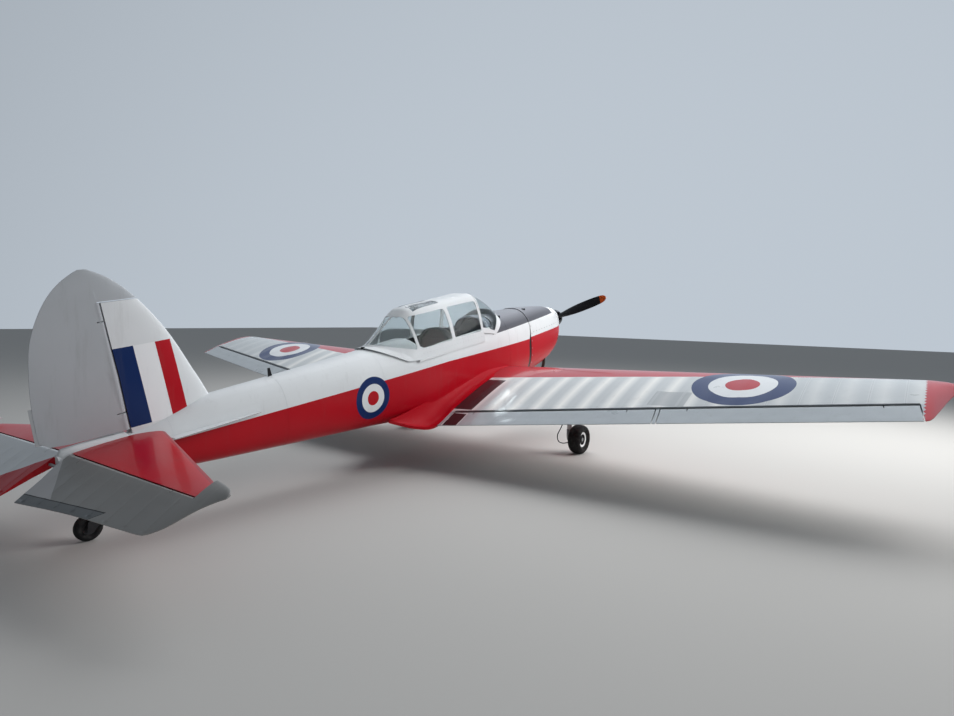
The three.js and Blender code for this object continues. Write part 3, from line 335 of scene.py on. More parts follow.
def rounded(x, y, z, radius, name="rounded", turns=8):
    """An upright prism with round corners."""
    outline = []
    for cx, cy, start in ((x[1] - radius, y[1] - radius, 0), (x[0] + radius, y[1] - radius, 90),
                          (x[0] + radius, y[0] + radius, 180), (x[1] - radius, y[0] + radius, 270)):
        for k in range(turns + 1):
            a = math.radians(start + 90 * k / turns)
            outline.append((cx + radius * math.cos(a), cy + radius * math.sin(a)))
    return loft(name, [[(px, py, h) for px, py in outline] for h in z])


def limited(value, least, most):
    """A field kept between two limits."""
    return calc("MINIMUM", most, calc("MAXIMUM", least, value))


def distance(across, up):
    return calc("SQRT", across * across + up * up)


def between(value, least, most):
    """1 where a value lies between two limits, else 0."""
    return (value > least) * (value < most)


def line_up(value, slope, start):
    """The height of a straight line over a station."""
    return calc("MULTIPLY_ADD", value, slope, start)


def over(mask, under, colour):
    """A colour painted over another where the mask says."""
    under, colour = (paint if isinstance(paint, Field) else (*paint, 1) for paint in (under, colour))
    return field(mask.tree, "ShaderNodeMix", {0: mask, 6: under, 7: colour}, 2, data_type="RGBA")


def own_place(tree):
    """A point of the surface in the object's own coordinates, which are the part's."""
    return field(tree, "ShaderNodeTexCoord", output="Object")


def level_place(tree):
    """Where a point of the surface lies in the level frame: x to port, y back, z up."""
    turned_back = {"Vector": own_place(tree), "Location": LEVEL.inverted().translation,
                   "Rotation": (NOSE_UP, 0, 0)}
    place = field(tree, "ShaderNodeMapping", turned_back)
    return [Field(socket) for socket in node(tree, "ShaderNodeSeparateXYZ", {0: place}).outputs]


def noise(tree, place, **sockets):
    return field(tree, "ShaderNodeTexNoise", {"Vector": place, **sockets}, "Fac")


def ramp(value, *limits):
    """A field carried from one range to another: from, to, new from, new to."""
    return field(value.tree, "ShaderNodeMapRange", enumerate((value, *limits)))


def make_weather():
    """Shared effect: faint fading, grime streaks and orange peel on any paint."""
    group = bpy.data.node_groups.new("weathered_paint", "ShaderNodeTree")
    face = group.interface
    for name, kind, value in (("Paint", "Color", (0.8, 0.8, 0.8, 1)), ("Fading", "Float", 0.5),
                              ("Grime", "Float", 0.3),
                              ("Gloss", "Float", 0.3)):
        face.new_socket(name=name, in_out="INPUT", socket_type="NodeSocket" + kind).default_value = value
    for name, kind in (("Color", "Color"), ("Roughness", "Float"), ("Height", "Float")):
        face.new_socket(name=name, in_out="OUTPUT", socket_type="NodeSocket" + kind)
    given = group.nodes.new("NodeGroupInput").outputs
    place = own_place(group)
    fade = (noise(group, place, Scale=1.7, Detail=4.0) - 0.5) * given["Fading"]
    lighter = fade * 0.35 + 1.0
    faded = field(group, "ShaderNodeVectorMath", {0: given["Paint"], 1: lighter}, operation="MULTIPLY")
    run = field(group, "ShaderNodeMapping", {"Vector": place, "Scale": (6.0, 6.0, 0.8)})
    streak = noise(group, run, Scale=2.2, Detail=6.0, Roughness=0.65)
    dirt = ramp(streak, 0.56, 0.86, 0.0, 0.55) * given["Grime"]
    plug(group.nodes.new("NodeGroupOutput"), {
        "Color": over(dirt, faded, (0.16, 0.145, 0.125)), "Roughness": (dirt + fade) * 0.3 + given["Gloss"],
        "Height": noise(group, place, Scale=240.0, Detail=2.0),
    })
    return group


weather = make_weather()


def painted(name, colour, gloss=0.34, fading=0.5, grime=0.3, metal=0.0, coat=0.16, peel=0.0006):
    """A paint finish. The colour is a plain one, or a function that paints over the level frame."""
    material = bpy.data.materials.new(name)
    material.use_nodes = True
    tree = material.node_tree
    paint = colour(*level_place(tree)) if callable(colour) else (*colour, 1)
    look = node(tree, "ShaderNodeGroup", {"Paint": paint, "Fading": fading, "Grime": grime, "Gloss": gloss},
                node_tree=weather).outputs
    bump = node(tree, "ShaderNodeBump", {"Height": look["Height"], "Strength": 0.25, "Distance": peel})
    plug(tree.nodes["Principled BSDF"], {
        "Base Color": look["Color"], "Roughness": look["Roughness"], "Normal": bump.outputs[0],
        "Metallic": metal, "Specular IOR Level": 0.22, "Coat Weight": coat, "Coat Roughness": 0.06,
    })
    return material


WHITE = (0.74, 0.76, 0.77)
RED = (0.44, 0.001, 0.009)
BLUE = (0.004, 0.022, 0.11)
BLACK = (0.012, 0.012, 0.014)
SIDE_ROUNDEL = (4.60, -0.165, 0.222)
DARK_DECK = (0.095, 0.097, 0.112)
# A paler deck colour for the crest of the nose: a painted sheen of the sky.
DECK_SHEEN = (0.235, 0.242, 0.268)


def roundel(across, up, radius, under):
    """Three rings about a point: blue outside, white inside it and a red middle."""
    reach = distance(across, up)
    for share, colour in ((1, BLUE), (2 / 3, WHITE), (1 / 3, RED)):
        under = over(reach < radius * share, under, colour)
    return under


def anti_glare(y, z, under):
    """Matt dark paint over the top of the nose, so that the sun doesn't dazzle the pilots. Its crest is
    paler, a painted sheen.
    """
    rise = z - line_up(y, -0.012, 0.154)
    # Paler up towards the crest: a painted sheen.
    crest_sheen = limited(line_up(rise, 9.0, -0.45), 0.0, 1.0)
    deck = over(crest_sheen, DARK_DECK, DECK_SHEEN)
    return over((rise > 0.0) * between(y, 0.60, 2.42), under, deck)


def fuselage_paint(x, y, z):
    """White over red, the dark deck, painted shade in the gap behind the cowling, and the roundels."""
    edge = calc("MINIMUM", line_up(y, 0.0379, -0.151), line_up(y, 0.0056, -0.042))
    colour = anti_glare(y, z, over(z < edge, WHITE, RED))
    # A near-black wedge along the front edge of the skin: painted shade in the gap behind the cowling.
    gap_shade = limited(line_up(z, -0.20, 0.018), 0.004, 0.055)
    colour = over((y - BODY_FRONT) < gap_shade, colour, (0.012, 0.010, 0.010))
    across, up, radius = SIDE_ROUNDEL
    return roundel(y - across, z - up, radius, colour)


def fuselage_stations():
    """Stations along the skin, with two close together at each joint of its sheets."""
    laps = [joint + step for joint in SHEET_JOINTS for step in (-0.0004, 0.0004)]
    return sorted(spread(BODY_FRONT, 7.4, 118) + laps)


def lapped(y):
    """How far a sheet stands over its neighbours, which alternate along the fuselage."""
    return -LAP if sum(y > joint for joint in SHEET_JOINTS) % 2 else 0.0


fuselage = loft("fuselage_skin", [body_ring(y, lapped(y)) for y in fuselage_stations()])
tub = loft("tub", [body_ring(y, -COCKPIT_WALL, 64) for y in spread(1.96, 4.06, 30)])
combine(tub, [block("over_floor", (-0.5, 0.5), (1.0, 5.0), (COCKPIT_FLOOR, 0.6))], "INTERSECT")
opening = rounded((-0.283, 0.283), (2.29, 3.80), (-0.05, 0.7), 0.12, "opening", 10)
rails = [block("sill_rail", x, (2.64, 3.90), (0.076, 0.0936)) for x in ((0.300, 0.363), (-0.363, -0.300))]
combine(fuselage, rails, "UNION")
combine(fuselage, [tub, opening])
finish_piece(fuselage, painted("fuselage_white_and_red", fuselage_paint), slot="white_paint",
             nodes=["fuselage"], sharp=40)
fuselage.data.materials.append(painted("cockpit_grey_green", (0.030, 0.034, 0.031), gloss=0.55, fading=0.8,
                                       grime=0.6, coat=0.0))
for face in fuselage.data.polygons:
    x, y, z = LEVEL.inverted() @ face.center
    if 1.9 < y < 4.1:
        half, top, low, waist, above, below = (along(BODY, y, k) for k in range(1, 7))
        n, reach = (above, top - waist) if z > waist else (below, waist - low)
        if abs(x / half) ** n + abs((z - waist) / reach) ** n < 0.93:
            face.material_index = 1

# Engine cowling
# Thin aluminium panels round the engine with a gap ahead of the firewall, held by quarter-turn fasteners.
# Cooling air goes in at the front and leaves through a slot under the tail of the cowling.
COWL_END = 1.452
COWL = [
    # station, half width, top, bottom, height of the widest line, roundness above and below it
    (0.312, 0.118, 0.136, -0.205, -0.010, 2.20, 2.6),
    (0.345, 0.165, 0.172, -0.300, -0.020, 2.20, 2.8),
    (0.420, 0.202, 0.202, -0.395, -0.030, 2.25, 3.0),
    (0.600, 0.240, 0.240, -0.490, -0.050, 2.30, 3.2),
    (0.850, 0.270, 0.275, -0.560, -0.060, 2.35, 3.3),
    (1.200, 0.300, 0.313, -0.600, -0.065, 2.35, 3.4),
    (COWL_END, 0.320, 0.333, -0.604, -0.070, 2.35, 3.4),
]
COWL_WALL = 0.014


def cowl_ring(y, shrink=0.0, count=96, at=None):
    half, top, low, waist, above, below = (along(COWL, y, k) for k in range(1, 7))
    ring = []
    for k in range(count):
        a = 2 * math.pi * (k + 0.5) / count
        c, s = math.cos(a), math.sin(a)
        n = above if s >= 0 else below
        reach = (top - waist if s >= 0 else waist - low) - shrink
        ring.append((power(c, 2 / n) * (half - shrink), y if at is None else at,
                     waist + power(s, 2 / n) * reach))
    return ring


def bar(name, points, radii, sides=24):
    """A closed round bar or pipe through points of the level frame, with a radius at each."""
    path = [Vector(p) for p in points]
    radii = radii if isinstance(radii, (list, tuple)) else [radii] * len(path)
    rings = []
    for k, p in enumerate(path):
        way = (path[min(k + 1, len(path) - 1)] - path[max(k - 1, 0)]).normalized()
        side = way.cross(Vector((0, 0, 1)) if abs(way.x) > 0.9 else Vector((1, 0, 0))).normalized()
        up = side.cross(way)
        rings.append([tuple(p + radii[k] * (math.cos(a) * side + math.sin(a) * up))
                      for a in (2 * math.pi * j / sides for j in range(sides))])
    return loft(name, rings)


def cowl_paint(x, y, z):
    return anti_glare(y, z, over(z < line_up(y, 0.0055, -0.081), WHITE, RED))


LIP_MARKS = [0.312, 0.318, 0.326, 0.335, 0.345, 0.360, 0.380, 0.404, 0.430, 0.470]
outer_marks = LIP_MARKS + spread(0.52, COWL_END, 20)
cowling = loft("cowling_panels", [cowl_ring(y) for y in outer_marks])
room = loft("cowl_room", [cowl_ring(max(y, 0.345), COWL_WALL, at=y) for y in [0.330] + outer_marks[4:-1]]
            + [cowl_ring(COWL_END, COWL_WALL, at=y) for y in (COWL_END, 1.48)])
intake = rounded((0.040, 0.150), (0.20, 0.42), (-0.150, 0.060), 0.03, "intake")
outlet = block("outlet", (-0.15, 0.15), (1.24, 1.6), (-0.7, -0.56))
shaft_hole = bar("shaft_hole", [(0, 0.2, 0), (0, 0.42, 0)], 0.062, 48)
pipe_hole = bar("pipe_hole", [(-0.19, 0.894, -0.478), (-0.19, 0.925, -0.59), (-0.19, 0.985, -0.665)],
                0.0244)
combine(cowling, [room, intake, outlet, shaft_hole, pipe_hole])
finish_piece(cowling, painted("cowling_white_and_red", cowl_paint), slot="white_paint", nodes=["cowling"],
             sharp=40)

# Wings
# A metal leading edge, painted red, back to the main spar, and silver doped fabric over ribs behind it.
# The fabric sags a little between the ribs, whose tapes stand out along the chord.
WING_ROOT = {"x": 0.330, "lead": 1.872, "lead_z": -0.474, "trail": 3.880, "trail_z": -0.668, "thick": 0.15}
WING_RIB = {"x": 4.925, "lead": 2.225, "lead_z": -0.178, "trail": 3.268, "trail_z": -0.236, "thick": 0.12}
WING_TIP = 5.232
TIP_CAP = [
    # distance from the middle, leading edge, trailing edge, depth
    (4.925, 2.225, 3.268, 0.125),
    (4.960, 2.230, 3.226, 0.123),
    (5.000, 2.236, 3.060, 0.114),
    (5.050, 2.243, 2.810, 0.096),
    (5.100, 2.254, 2.585, 0.072),
    (5.150, 2.270, 2.445, 0.046),
    (5.195, 2.290, 2.378, 0.024),
    (5.232, 2.314, 2.340, 0.006),
]
CAMBER = 0.02
RIB_PITCH = 0.26
FIRST_RIB = 0.62
FABRIC_SAG = 0.0050
TAPE = {"half": 0.013, "thick": 0.0008}
HINGE = ((0.560, 3.602, -0.607), (4.905, 3.016, -0.2085))
HINGE_SPAN = {"flap": (0.540, 2.790), "aileron": (2.842, 4.880)}
SWING = 0.008
BLUNT_EDGE = 0.003
CHORD_STEPS = [0.5 - 0.5 * math.cos(math.pi * k / 44) for k in range(45)]


def foil_ring(lead, lead_z, trail, trail_z, thick, camber=0.0, dent=None):
    """A section as (y, z) points, from the trailing edge over the top to the leading edge and back below."""
    chord = math.hypot(trail - lead, trail_z - lead_z)
    back, rise = (trail - lead) / chord, (trail_z - lead_z) / chord

    def half(t):
        curve = 0.2969 * math.sqrt(t) - 0.126 * t - 0.3516 * t**2 + 0.2843 * t**3 - 0.1036 * t**4
        return 5 * thick * chord * curve + BLUNT_EDGE * t

    def mean(t):
        return chord * camber * ((0.8 * t - t * t) / 0.16 if t < 0.4 else (0.2 + 0.8 * t - t * t) / 0.36)

    points = []
    for side, stations in ((1, CHORD_STEPS[::-1]), (-1, CHORD_STEPS[1:])):
        for t in stations:
            w = half(t) + (dent(lead + chord * t) if dent else 0.0)
            up = mean(t) + side * w
            points.append((lead + chord * t * back - up * rise, lead_z + chord * t * rise + up * back))
    return points


def wing_values(x):
    t = (x - WING_ROOT["x"]) / (WING_RIB["x"] - WING_ROOT["x"])
    mix = {k: WING_ROOT[k] + (WING_RIB[k] - WING_ROOT[k]) * t for k in WING_ROOT}
    if x > WING_RIB["x"]:
        mix["lead"], mix["trail"], deep = (along(TIP_CAP, x, k) for k in (1, 2, 3))
        chord = mix["trail"] - mix["lead"]
        fall = (WING_RIB["trail_z"] - WING_RIB["lead_z"]) / (WING_RIB["trail"] - WING_RIB["lead"])
        mix["lead_z"] = WING_RIB["lead_z"] - 0.05 * (mix["lead"] - WING_RIB["lead"])
        mix["trail_z"] = mix["lead_z"] + fall * chord
        mix["thick"] = deep / chord
    return mix


def spar_line(x):
    return 2.77 - 0.098 * x


def hinge_line(x):
    t = (x - HINGE[0][0]) / (HINGE[1][0] - HINGE[0][0])
    return tuple(a + (b - a) * t for a, b in zip(*HINGE))


def wing_ring(x):
    """One section of the wing, with its share of the fabric's sag and of the rib tapes."""
    v = wing_values(x)
    bay = ((x - FIRST_RIB) / RIB_PITCH) % 1.0
    from_rib = min(bay, 1 - bay) * RIB_PITCH
    hinge = hinge_line(x)[1]
    fields = ((spar_line(x), hinge - 0.05), (hinge + 0.05, v["trail"] - 0.03))

    def dent(y):
        if x < FIRST_RIB or x > WING_RIB["x"]:
            return 0.0
        for front, aft in fields:
            if front < y < aft:
                if from_rib < TAPE["half"] + 0.0002:
                    return TAPE["thick"]
                fade = min(1.0, (y - front) / 0.12, (aft - y) / 0.10)
                return -FABRIC_SAG * math.sin(math.pi * bay) ** 2 * fade
        return 0.0

    ring = foil_ring(v["lead"], v["lead_z"], v["trail"], v["trail_z"], v["thick"], CAMBER, dent=dent)
    return [(x, y, z) for y, z in ring]


def wing_stations():
    marks = [0.30, 0.45, 0.56]
    rib = FIRST_RIB
    while rib < WING_RIB["x"] - 0.02:
        marks += [rib - TAPE["half"] - 0.0005, rib - TAPE["half"], rib + TAPE["half"],
                  rib + TAPE["half"] + 0.0005]
        marks += [rib + RIB_PITCH * share for share in (0.14, 0.26, 0.38, 0.5, 0.62, 0.74, 0.86)]
        rib += RIB_PITCH
    marks = [m for m in marks if m < WING_RIB["x"] - 0.005]
    return marks + [WING_RIB["x"], 4.945, 4.96] + spread(4.98, 5.195, 12) + [5.21, 5.222, WING_TIP]


def on_line(start, end):
    """The frame of a hinge line: x along it, y back and z up."""
    x = (Vector(end) - Vector(start)).normalized()
    y = (Vector((0, 1, 0)) - x * x.y).normalized()
    turn = Matrix((x, y, x.cross(y))).transposed().to_4x4()
    return Matrix.Translation(Vector(start)) @ turn


def moved(piece, matrix):
    """Places a mesh that was drawn in its own level frame."""
    piece.data.transform(LEVEL @ matrix @ LEVEL.inverted())
    return piece


def mirrored(piece, name):
    """The starboard twin of a port piece, with its faces turned right side out."""
    twin = piece.copy()
    twin.data = piece.data.copy()
    twin.name = twin.data.name = name
    twin.data.transform(Matrix.Scale(-1, 4, (1, 0, 0)))
    twin.data.flip_normals()
    scene.collection.objects.link(twin)
    return twin


def both_sides(piece, material, slot, node_name, body="airframe", sharp=32):
    """Finishes a port piece and its twin to starboard. The names of the two end in left and right."""
    twin = mirrored(piece, piece.name.replace("left", "right"))
    for made, side in ((piece, "left"), (twin, "right")):
        finish_piece(made, material, body.replace("left", side), slot, [f"{node_name}_{side}"], sharp)


def copied(piece, name):
    twin = piece.copy()
    twin.data = piece.data.copy()
    twin.name = twin.data.name = name
    scene.collection.objects.link(twin)
    return twin


def hinge_plates(kind, start, end, r0, r1, places):
    """Brackets that end in round eyes on a hinge line, and the slots of the moving piece that take them."""
    length = (Vector(end) - Vector(start)).length
    here = on_line(start, end)
    plates, slots = [], []
    for t in places:
        x, r = length * t, r0 + (r1 - r0) * t
        plate = moved(bar(kind + "_plate", [(x - 0.004, 0, 0), (x + 0.004, 0, 0)], r * 0.6, 16), here)
        arm = moved(block(kind + "_arm", (x - 0.004, x + 0.004), (-(r + SWING + 0.014), 0),
                          (-r * 0.48, r * 0.48)), here)
        plates.append(combine(plate, [arm], "UNION"))
        slots.append(moved(bar(kind + "_slot", [(x - 0.0044, 0, 0), (x + 0.0044, 0, 0)], r * 1.45, 16),
                           here))
    return plates, slots


def hinge_parts(kind, start, end, r0, r1, places):
    """The bay, nose, aft room, brackets and bracket slots of a hinged surface, on its hinge line."""
    length = (Vector(end) - Vector(start)).length
    slope = (r1 - r0) / length
    gap, lead = SWING, 0.01
    here = on_line(start, end)

    def drawn(piece):
        return moved(piece, here)

    bay = drawn(bar(kind + "_bay", [(-lead, 0, 0), (length + lead, 0, 0)],
                    [r0 - slope * lead + gap, r1 + slope * lead + gap], 48))
    bay_aft = drawn(block(kind + "_bay_aft", (-lead, length + lead), (0, 0.9), (-0.5, 0.5)))
    combine(bay, [bay_aft], "UNION")
    nose = drawn(bar(kind + "_nose", [(0, 0, 0), (length, 0, 0)], [r0, r1], 48))
    aft = drawn(block(kind + "_aft", (0, length), (0, 0.9), (-0.5, 0.5)))
    plates, slots = hinge_plates(kind, start, end, r0, r1, places)
    return {"bay": bay, "nose": nose, "aft": aft, "plates": plates, "slots": slots}


def upper(tree):
    """1 on faces that look up."""
    out = field(tree, "ShaderNodeNewGeometry", output="Normal")
    return field(tree, "ShaderNodeSeparateXYZ", {0: out}, 2) > 0.0


SILVER = (0.47, 0.50, 0.51)
WING_ROUNDEL = (3.44, 2.685, 0.475)
WALKWAYS = ((0.440, 0.735, 2.79, 3.530), (0.548, 0.730, 3.615, 3.845))


def wing_paint(x, y, z):
    """Silver dope with a painted sheen inboard and painted highlights over the bays, and red edges, roundels
    and walkways.
    """
    span = abs(x)
    front = line_up(span, -0.098, spar_line(0.0))
    (x0, y0, _), (x1, y1, _) = HINGE
    slope = (y1 - y0) / (x1 - x0)
    behind = y - line_up(span, slope, y0 - slope * x0)
    ahead = behind < -0.03
    bay = (span + (2 * RIB_PITCH - FIRST_RIB)) % RIB_PITCH / RIB_PITCH
    bay_highlight = calc("MAXIMUM", 0.0, 1.0 - abs(bay - 0.40) / 0.34)
    # Paler towards the root: a painted sheen of the sky.
    fading = limited(line_up(span, -0.45, 2.1), 0.25, 1.0)
    colour = over(fading * 0.5, SILVER, (0.62, 0.635, 0.63))
    # A paler patch over the middle of each bay ahead of the hinge: painted highlights.
    colour = over(bay_highlight * (fading * ahead) * 0.95, colour, (0.90, 0.885, 0.84))
    patch = between(x, -3.03, -2.67) * between(y, 2.93, 3.23)
    colour = over(patch * 0.7, colour, (0.34, 0.36, 0.37))
    from_rib = calc("PINGPONG", bay, 0.5) * RIB_PITCH
    colour = over((from_rib < TAPE["half"]) * line_up(ahead, 0.30, 0.05), colour, (0.64, 0.66, 0.66))
    stitching = (from_rib < 0.0016) * ahead
    colour = over(stitching * 0.5, colour, (0.20, 0.21, 0.22))
    colour = over(behind > -0.02, colour, (0.42, 0.455, 0.475))
    # A thin pale line along the edge of the metal leading edge: a painted highlight.
    colour = over(between(y - front, 0.0, 0.012), colour, (0.66, 0.68, 0.68))
    colour = over(y < front, colour, RED)
    pinking = calc("PINGPONG", y, 0.03) * 0.6
    colour = over(span > pinking + 4.905, colour, RED)
    top = upper(x.tree)
    across, back, radius = WING_ROUNDEL
    colour = over(top, colour, roundel(span - across, y - back, radius, colour))
    # A faint bluish white over the upper faces: a painted reflection of the sky.
    colour = over(top * 0.07, colour, (0.60, 0.66, 0.74))
    for grow, paint in ((0.013, (0.70, 0.71, 0.71)), (0.0, (0.020, 0.018, 0.022))):
        for x0, x1, y0, y1 in WALKWAYS:
            patch = between(span, x0 - grow, x1 + grow) * between(y, y0 - grow, y1 + grow)
            colour = over(patch * top, colour, paint)
    # A dark band along the hinge gap on the upper faces: painted shade in the slot.
    slot = between(behind, -0.038, 0.008) * between(span, HINGE_SPAN["flap"][0], HINGE_SPAN["aileron"][1])
    return over(slot * top, colour, (0.035, 0.042, 0.048))


silver_wing = painted("wing_silver_and_red", wing_paint, gloss=0.30, metal=0.12, fading=0.45, grime=0.35,
                      coat=0.6)
wing = loft("wing_skin_left", [wing_ring(x) for x in wing_stations()])
whole_wing = copied(wing, "whole_wing")
for kind, (x0, x1) in HINGE_SPAN.items():
    radius = [0.043 - 0.010 * (x - 0.56) / 4.345 for x in (x0, x1)]
    parts = hinge_parts(kind, hinge_line(x0), hinge_line(x1), *radius, (0.12, 0.88))
    combine(wing, [parts["bay"]])
    for plate in parts["plates"]:
        combine(wing, [plate], "UNION")
    moving = copied(whole_wing, kind + "_skin_left")
    combine(moving, [parts["aft"]], "INTERSECT")
    combine(moving, [parts["nose"]], "UNION")
    combine(moving, parts["slots"])
    both_sides(moving, silver_wing, "silver_paint", kind, f"{kind}_left", sharp=30)
bpy.data.objects.remove(whole_wing)
leg_socket = bar("leg_socket", [(1.262, 2.152, -0.4976), (1.262, 2.160, -0.66)], [0.0564, 0.0524])
combine(wing, [leg_socket])
both_sides(wing, silver_wing, "silver_paint", "wing", sharp=30)

# Wing root fillets
# Beaten aluminium fairings that sweep from the fuselage side on to the wing and run out behind it.
FILLET = [
    # station, foot height, reach out from the side, rise up the side
    (1.96, -0.420, 0.060, 0.024),
    (2.20, -0.352, 0.104, 0.060),
    (2.60, -0.340, 0.122, 0.096),
    (3.10, -0.408, 0.128, 0.132),
    (3.50, -0.500, 0.134, 0.178),
    (3.80, -0.612, 0.148, 0.236),
    (3.93, -0.632, 0.126, 0.232),
    (4.13, -0.581, 0.068, 0.158),
    (4.27, -0.515, 0.016, 0.078),
    (4.40, -0.450, -0.030, 0.010),
]


def fillet_ring(y):
    foot, out, rise = (along(FILLET, y, k) for k in (1, 2, 3))
    side = along(BODY, y, 1)
    inner = side - 0.014
    out += 0.014
    foot -= 0.012
    curve = [(inner + out * (1 - math.sin(a)), y, foot + rise * (1 - math.cos(a)))
             for a in (math.radians(d) for d in spread(0, 90, 20))]
    return [(side - 0.034, y, foot - 0.030), (inner + out, y, foot - 0.030), *curve,
            (side - 0.034, y, foot + rise)]


red_paint = painted("fairing_red", RED, fading=0.6)
fillet = loft("root_fillet_left", [fillet_ring(y) for y in spread(1.96, 4.40, 70)])
flap_room = moved(block("flap_room", (-0.014, 2.4), (-0.06, 0.9), (-0.5, 0.5)),
                  on_line(hinge_line(0.540), hinge_line(2.790)))
combine(fillet, [flap_room])
both_sides(fillet, red_paint, "red_paint", "wing_fillet", sharp=45)

# Fin
# An aluminium fin riveted to the tail of the fuselage, white with a tall striped flash on both sides.
FIN = [
    # height, leading edge, trailing edge of the rudder, thickness
    (0.060, 6.120, 7.400, 0.104),
    (0.220, 6.190, 7.486, 0.102),
    (0.380, 6.255, 7.490, 0.098),
    (0.530, 6.325, 7.482, 0.092),
    (0.700, 6.400, 7.462, 0.084),
    (0.870, 6.488, 7.430, 0.074),
    (1.000, 6.572, 7.382, 0.064),
    (1.120, 6.662, 7.318, 0.054),
    (1.220, 6.755, 7.244, 0.044),
    (1.290, 6.840, 7.168, 0.034),
    (1.340, 6.925, 7.092, 0.022),
    (1.366, 6.985, 7.040, 0.010),
]
RUDDER_HINGE = ((0, 6.920, 0.158), (0, 6.963, 1.118))
RUDDER_FOOT = RUDDER_HINGE[0][2]
HORN_FOOT = RUDDER_HINGE[1][2]
FLASH = {"low": 0.165, "high": 0.775, "lean": 0.066}


def side_prism(name, outline, x0, x1):
    """A solid between two planes across the aircraft, from an outline of (y, z) points."""
    return loft(name, [[(x, p[0], p[1]) for p in outline] for x in (x0, x1)])


def rudder_line(z):
    """The station of the rudder hinge at a height; it leans back a little."""
    (_, y0, z0), (_, y1, z1) = RUDDER_HINGE
    return y0 + (z - z0) * (y1 - y0) / (z1 - z0)


def fin_ring(z):
    lead, trail, thick = (along(FIN, z, k) for k in (1, 2, 3))
    ring = foil_ring(lead, 0.0, trail, 0.0, thick / (trail - lead))
    return [(x, y, z) for y, x in ring]


def fin_paint(x, y, z):
    """White with three upright bands that lean back a little."""
    back = y - (z - FLASH["low"]) * FLASH["lean"]
    tall = between(z, FLASH["low"], FLASH["high"])
    colour = WHITE
    for start, end, paint in ((6.43, 6.56, RED), (6.56, 6.73, (0.86, 0.87, 0.88)), (6.73, 6.90, BLUE)):
        colour = over(between(back, start, end) * tall, colour, paint)
    return colour


fin_heights = spread(0.06, 1.28, 44) + [1.295, 1.310, 1.322, 1.333, 1.343, 1.352, 1.359, 1.363, 1.366]
fin = loft("fin_skin", [fin_ring(z) for z in fin_heights])
rudder_blank = copied(fin, "rudder_skin")
horn = copied(fin, "rudder_horn")
hinge_frame = on_line(*RUDDER_HINGE)
HINGE_MARKS = (0.0, 0.402, 0.961)
foot_at, horn_at, top_at = rudder_line(0.06), rudder_line(HORN_FOOT), rudder_line(1.4)
combine(fin, [side_prism("fin_share", [(6.0, 0.06), (foot_at, 0.06), (horn_at, HORN_FOOT),
                                       (6.0, HORN_FOOT)], -0.2, 0.2)], "INTERSECT")
rudder_bay = bar("rudder_bay", [(-0.062, 0, 0), *[(m, 0, 0) for m in HINGE_MARKS[1:]]],
                 [0.054, 0.053, 0.0375], 48)
combine(fin, [moved(rudder_bay, hinge_frame)])
behind = [(rudder_line(RUDDER_FOOT), RUDDER_FOOT), (7.7, RUDDER_FOOT), (7.7, 1.4), (top_at, 1.4)]
rudder = combine(rudder_blank, [side_prism("rudder_share", behind, -0.2, 0.2)], "INTERSECT")
combine(horn, [block("horn_share", (-0.2, 0.2), (6.0, 7.7), (HORN_FOOT + 0.010, 1.4))], "INTERSECT")
rudder_nose = bar("rudder_nose", [(m, 0, 0) for m in HINGE_MARKS], [0.044, 0.043, 0.028], 48)
combine(rudder, [moved(rudder_nose, hinge_frame), horn], "UNION")
FOOT_LINE = [(6.8, 0.06), (6.8, RUDDER_FOOT), (7.3, 0.162), (7.43, 0.176), (7.494, 0.224), (7.6, 0.30),
             (7.6, 0.06)]
combine(rudder, [side_prism("rudder_foot", FOOT_LINE, -0.1, 0.1)])
plates, slots = hinge_plates("rudder", *RUDDER_HINGE, 0.043, 0.027, (0.14, 0.86))
for plate in plates:
    combine(fin, [plate], "UNION")
combine(rudder, slots)
fin_white = painted("fin_white_with_flash", fin_paint, grime=0.35)
finish_piece(fin, fin_white, slot="white_paint", nodes=["fin"], sharp=40)

# Rudder
# Fabric over light ribs, hinged behind the fin, with a fixed tab of bent sheet on its trailing edge.
rudder_white = painted("rudder_white", (0.44, 0.46, 0.48), gloss=0.36, fading=0.7, grime=0.5)
finish_piece(rudder, rudder_white, "rudder", "white_paint", ["rudder"], sharp=40)
rudder_tab = block("rudder_tab", (-0.0016, 0.0016), (7.466, 7.5095), (0.205, 0.465))
finish_piece(rudder_tab, painted("tab_grey", (0.38, 0.40, 0.41), grime=0.5), "rudder", "white_paint")

# Tailplane
# A metal stabiliser on each side of the tail, painted red, with the elevators hinged behind it.
TAIL = [
    # distance from the middle, leading edge, trailing edge of the elevator, thickness
    (0.020, 6.640, 7.772, 0.084),
    (0.170, 6.690, 7.754, 0.080),
    (0.800, 6.898, 7.684, 0.062),
    (1.300, 7.064, 7.650, 0.048),
    (1.520, 7.137, 7.632, 0.040),
    (1.620, 7.168, 7.556, 0.034),
    (1.720, 7.186, 7.380, 0.027),
    (1.790, 7.206, 7.300, 0.019),
    (1.828, 7.236, 7.268, 0.009),
]
TAIL_Z = 0.072
ELEVATOR_HINGE = ((0.072, 7.340, TAIL_Z), (1.612, 7.340, TAIL_Z))
DROOP = math.radians(-22)
ELEVATOR_RIBS = 0.19


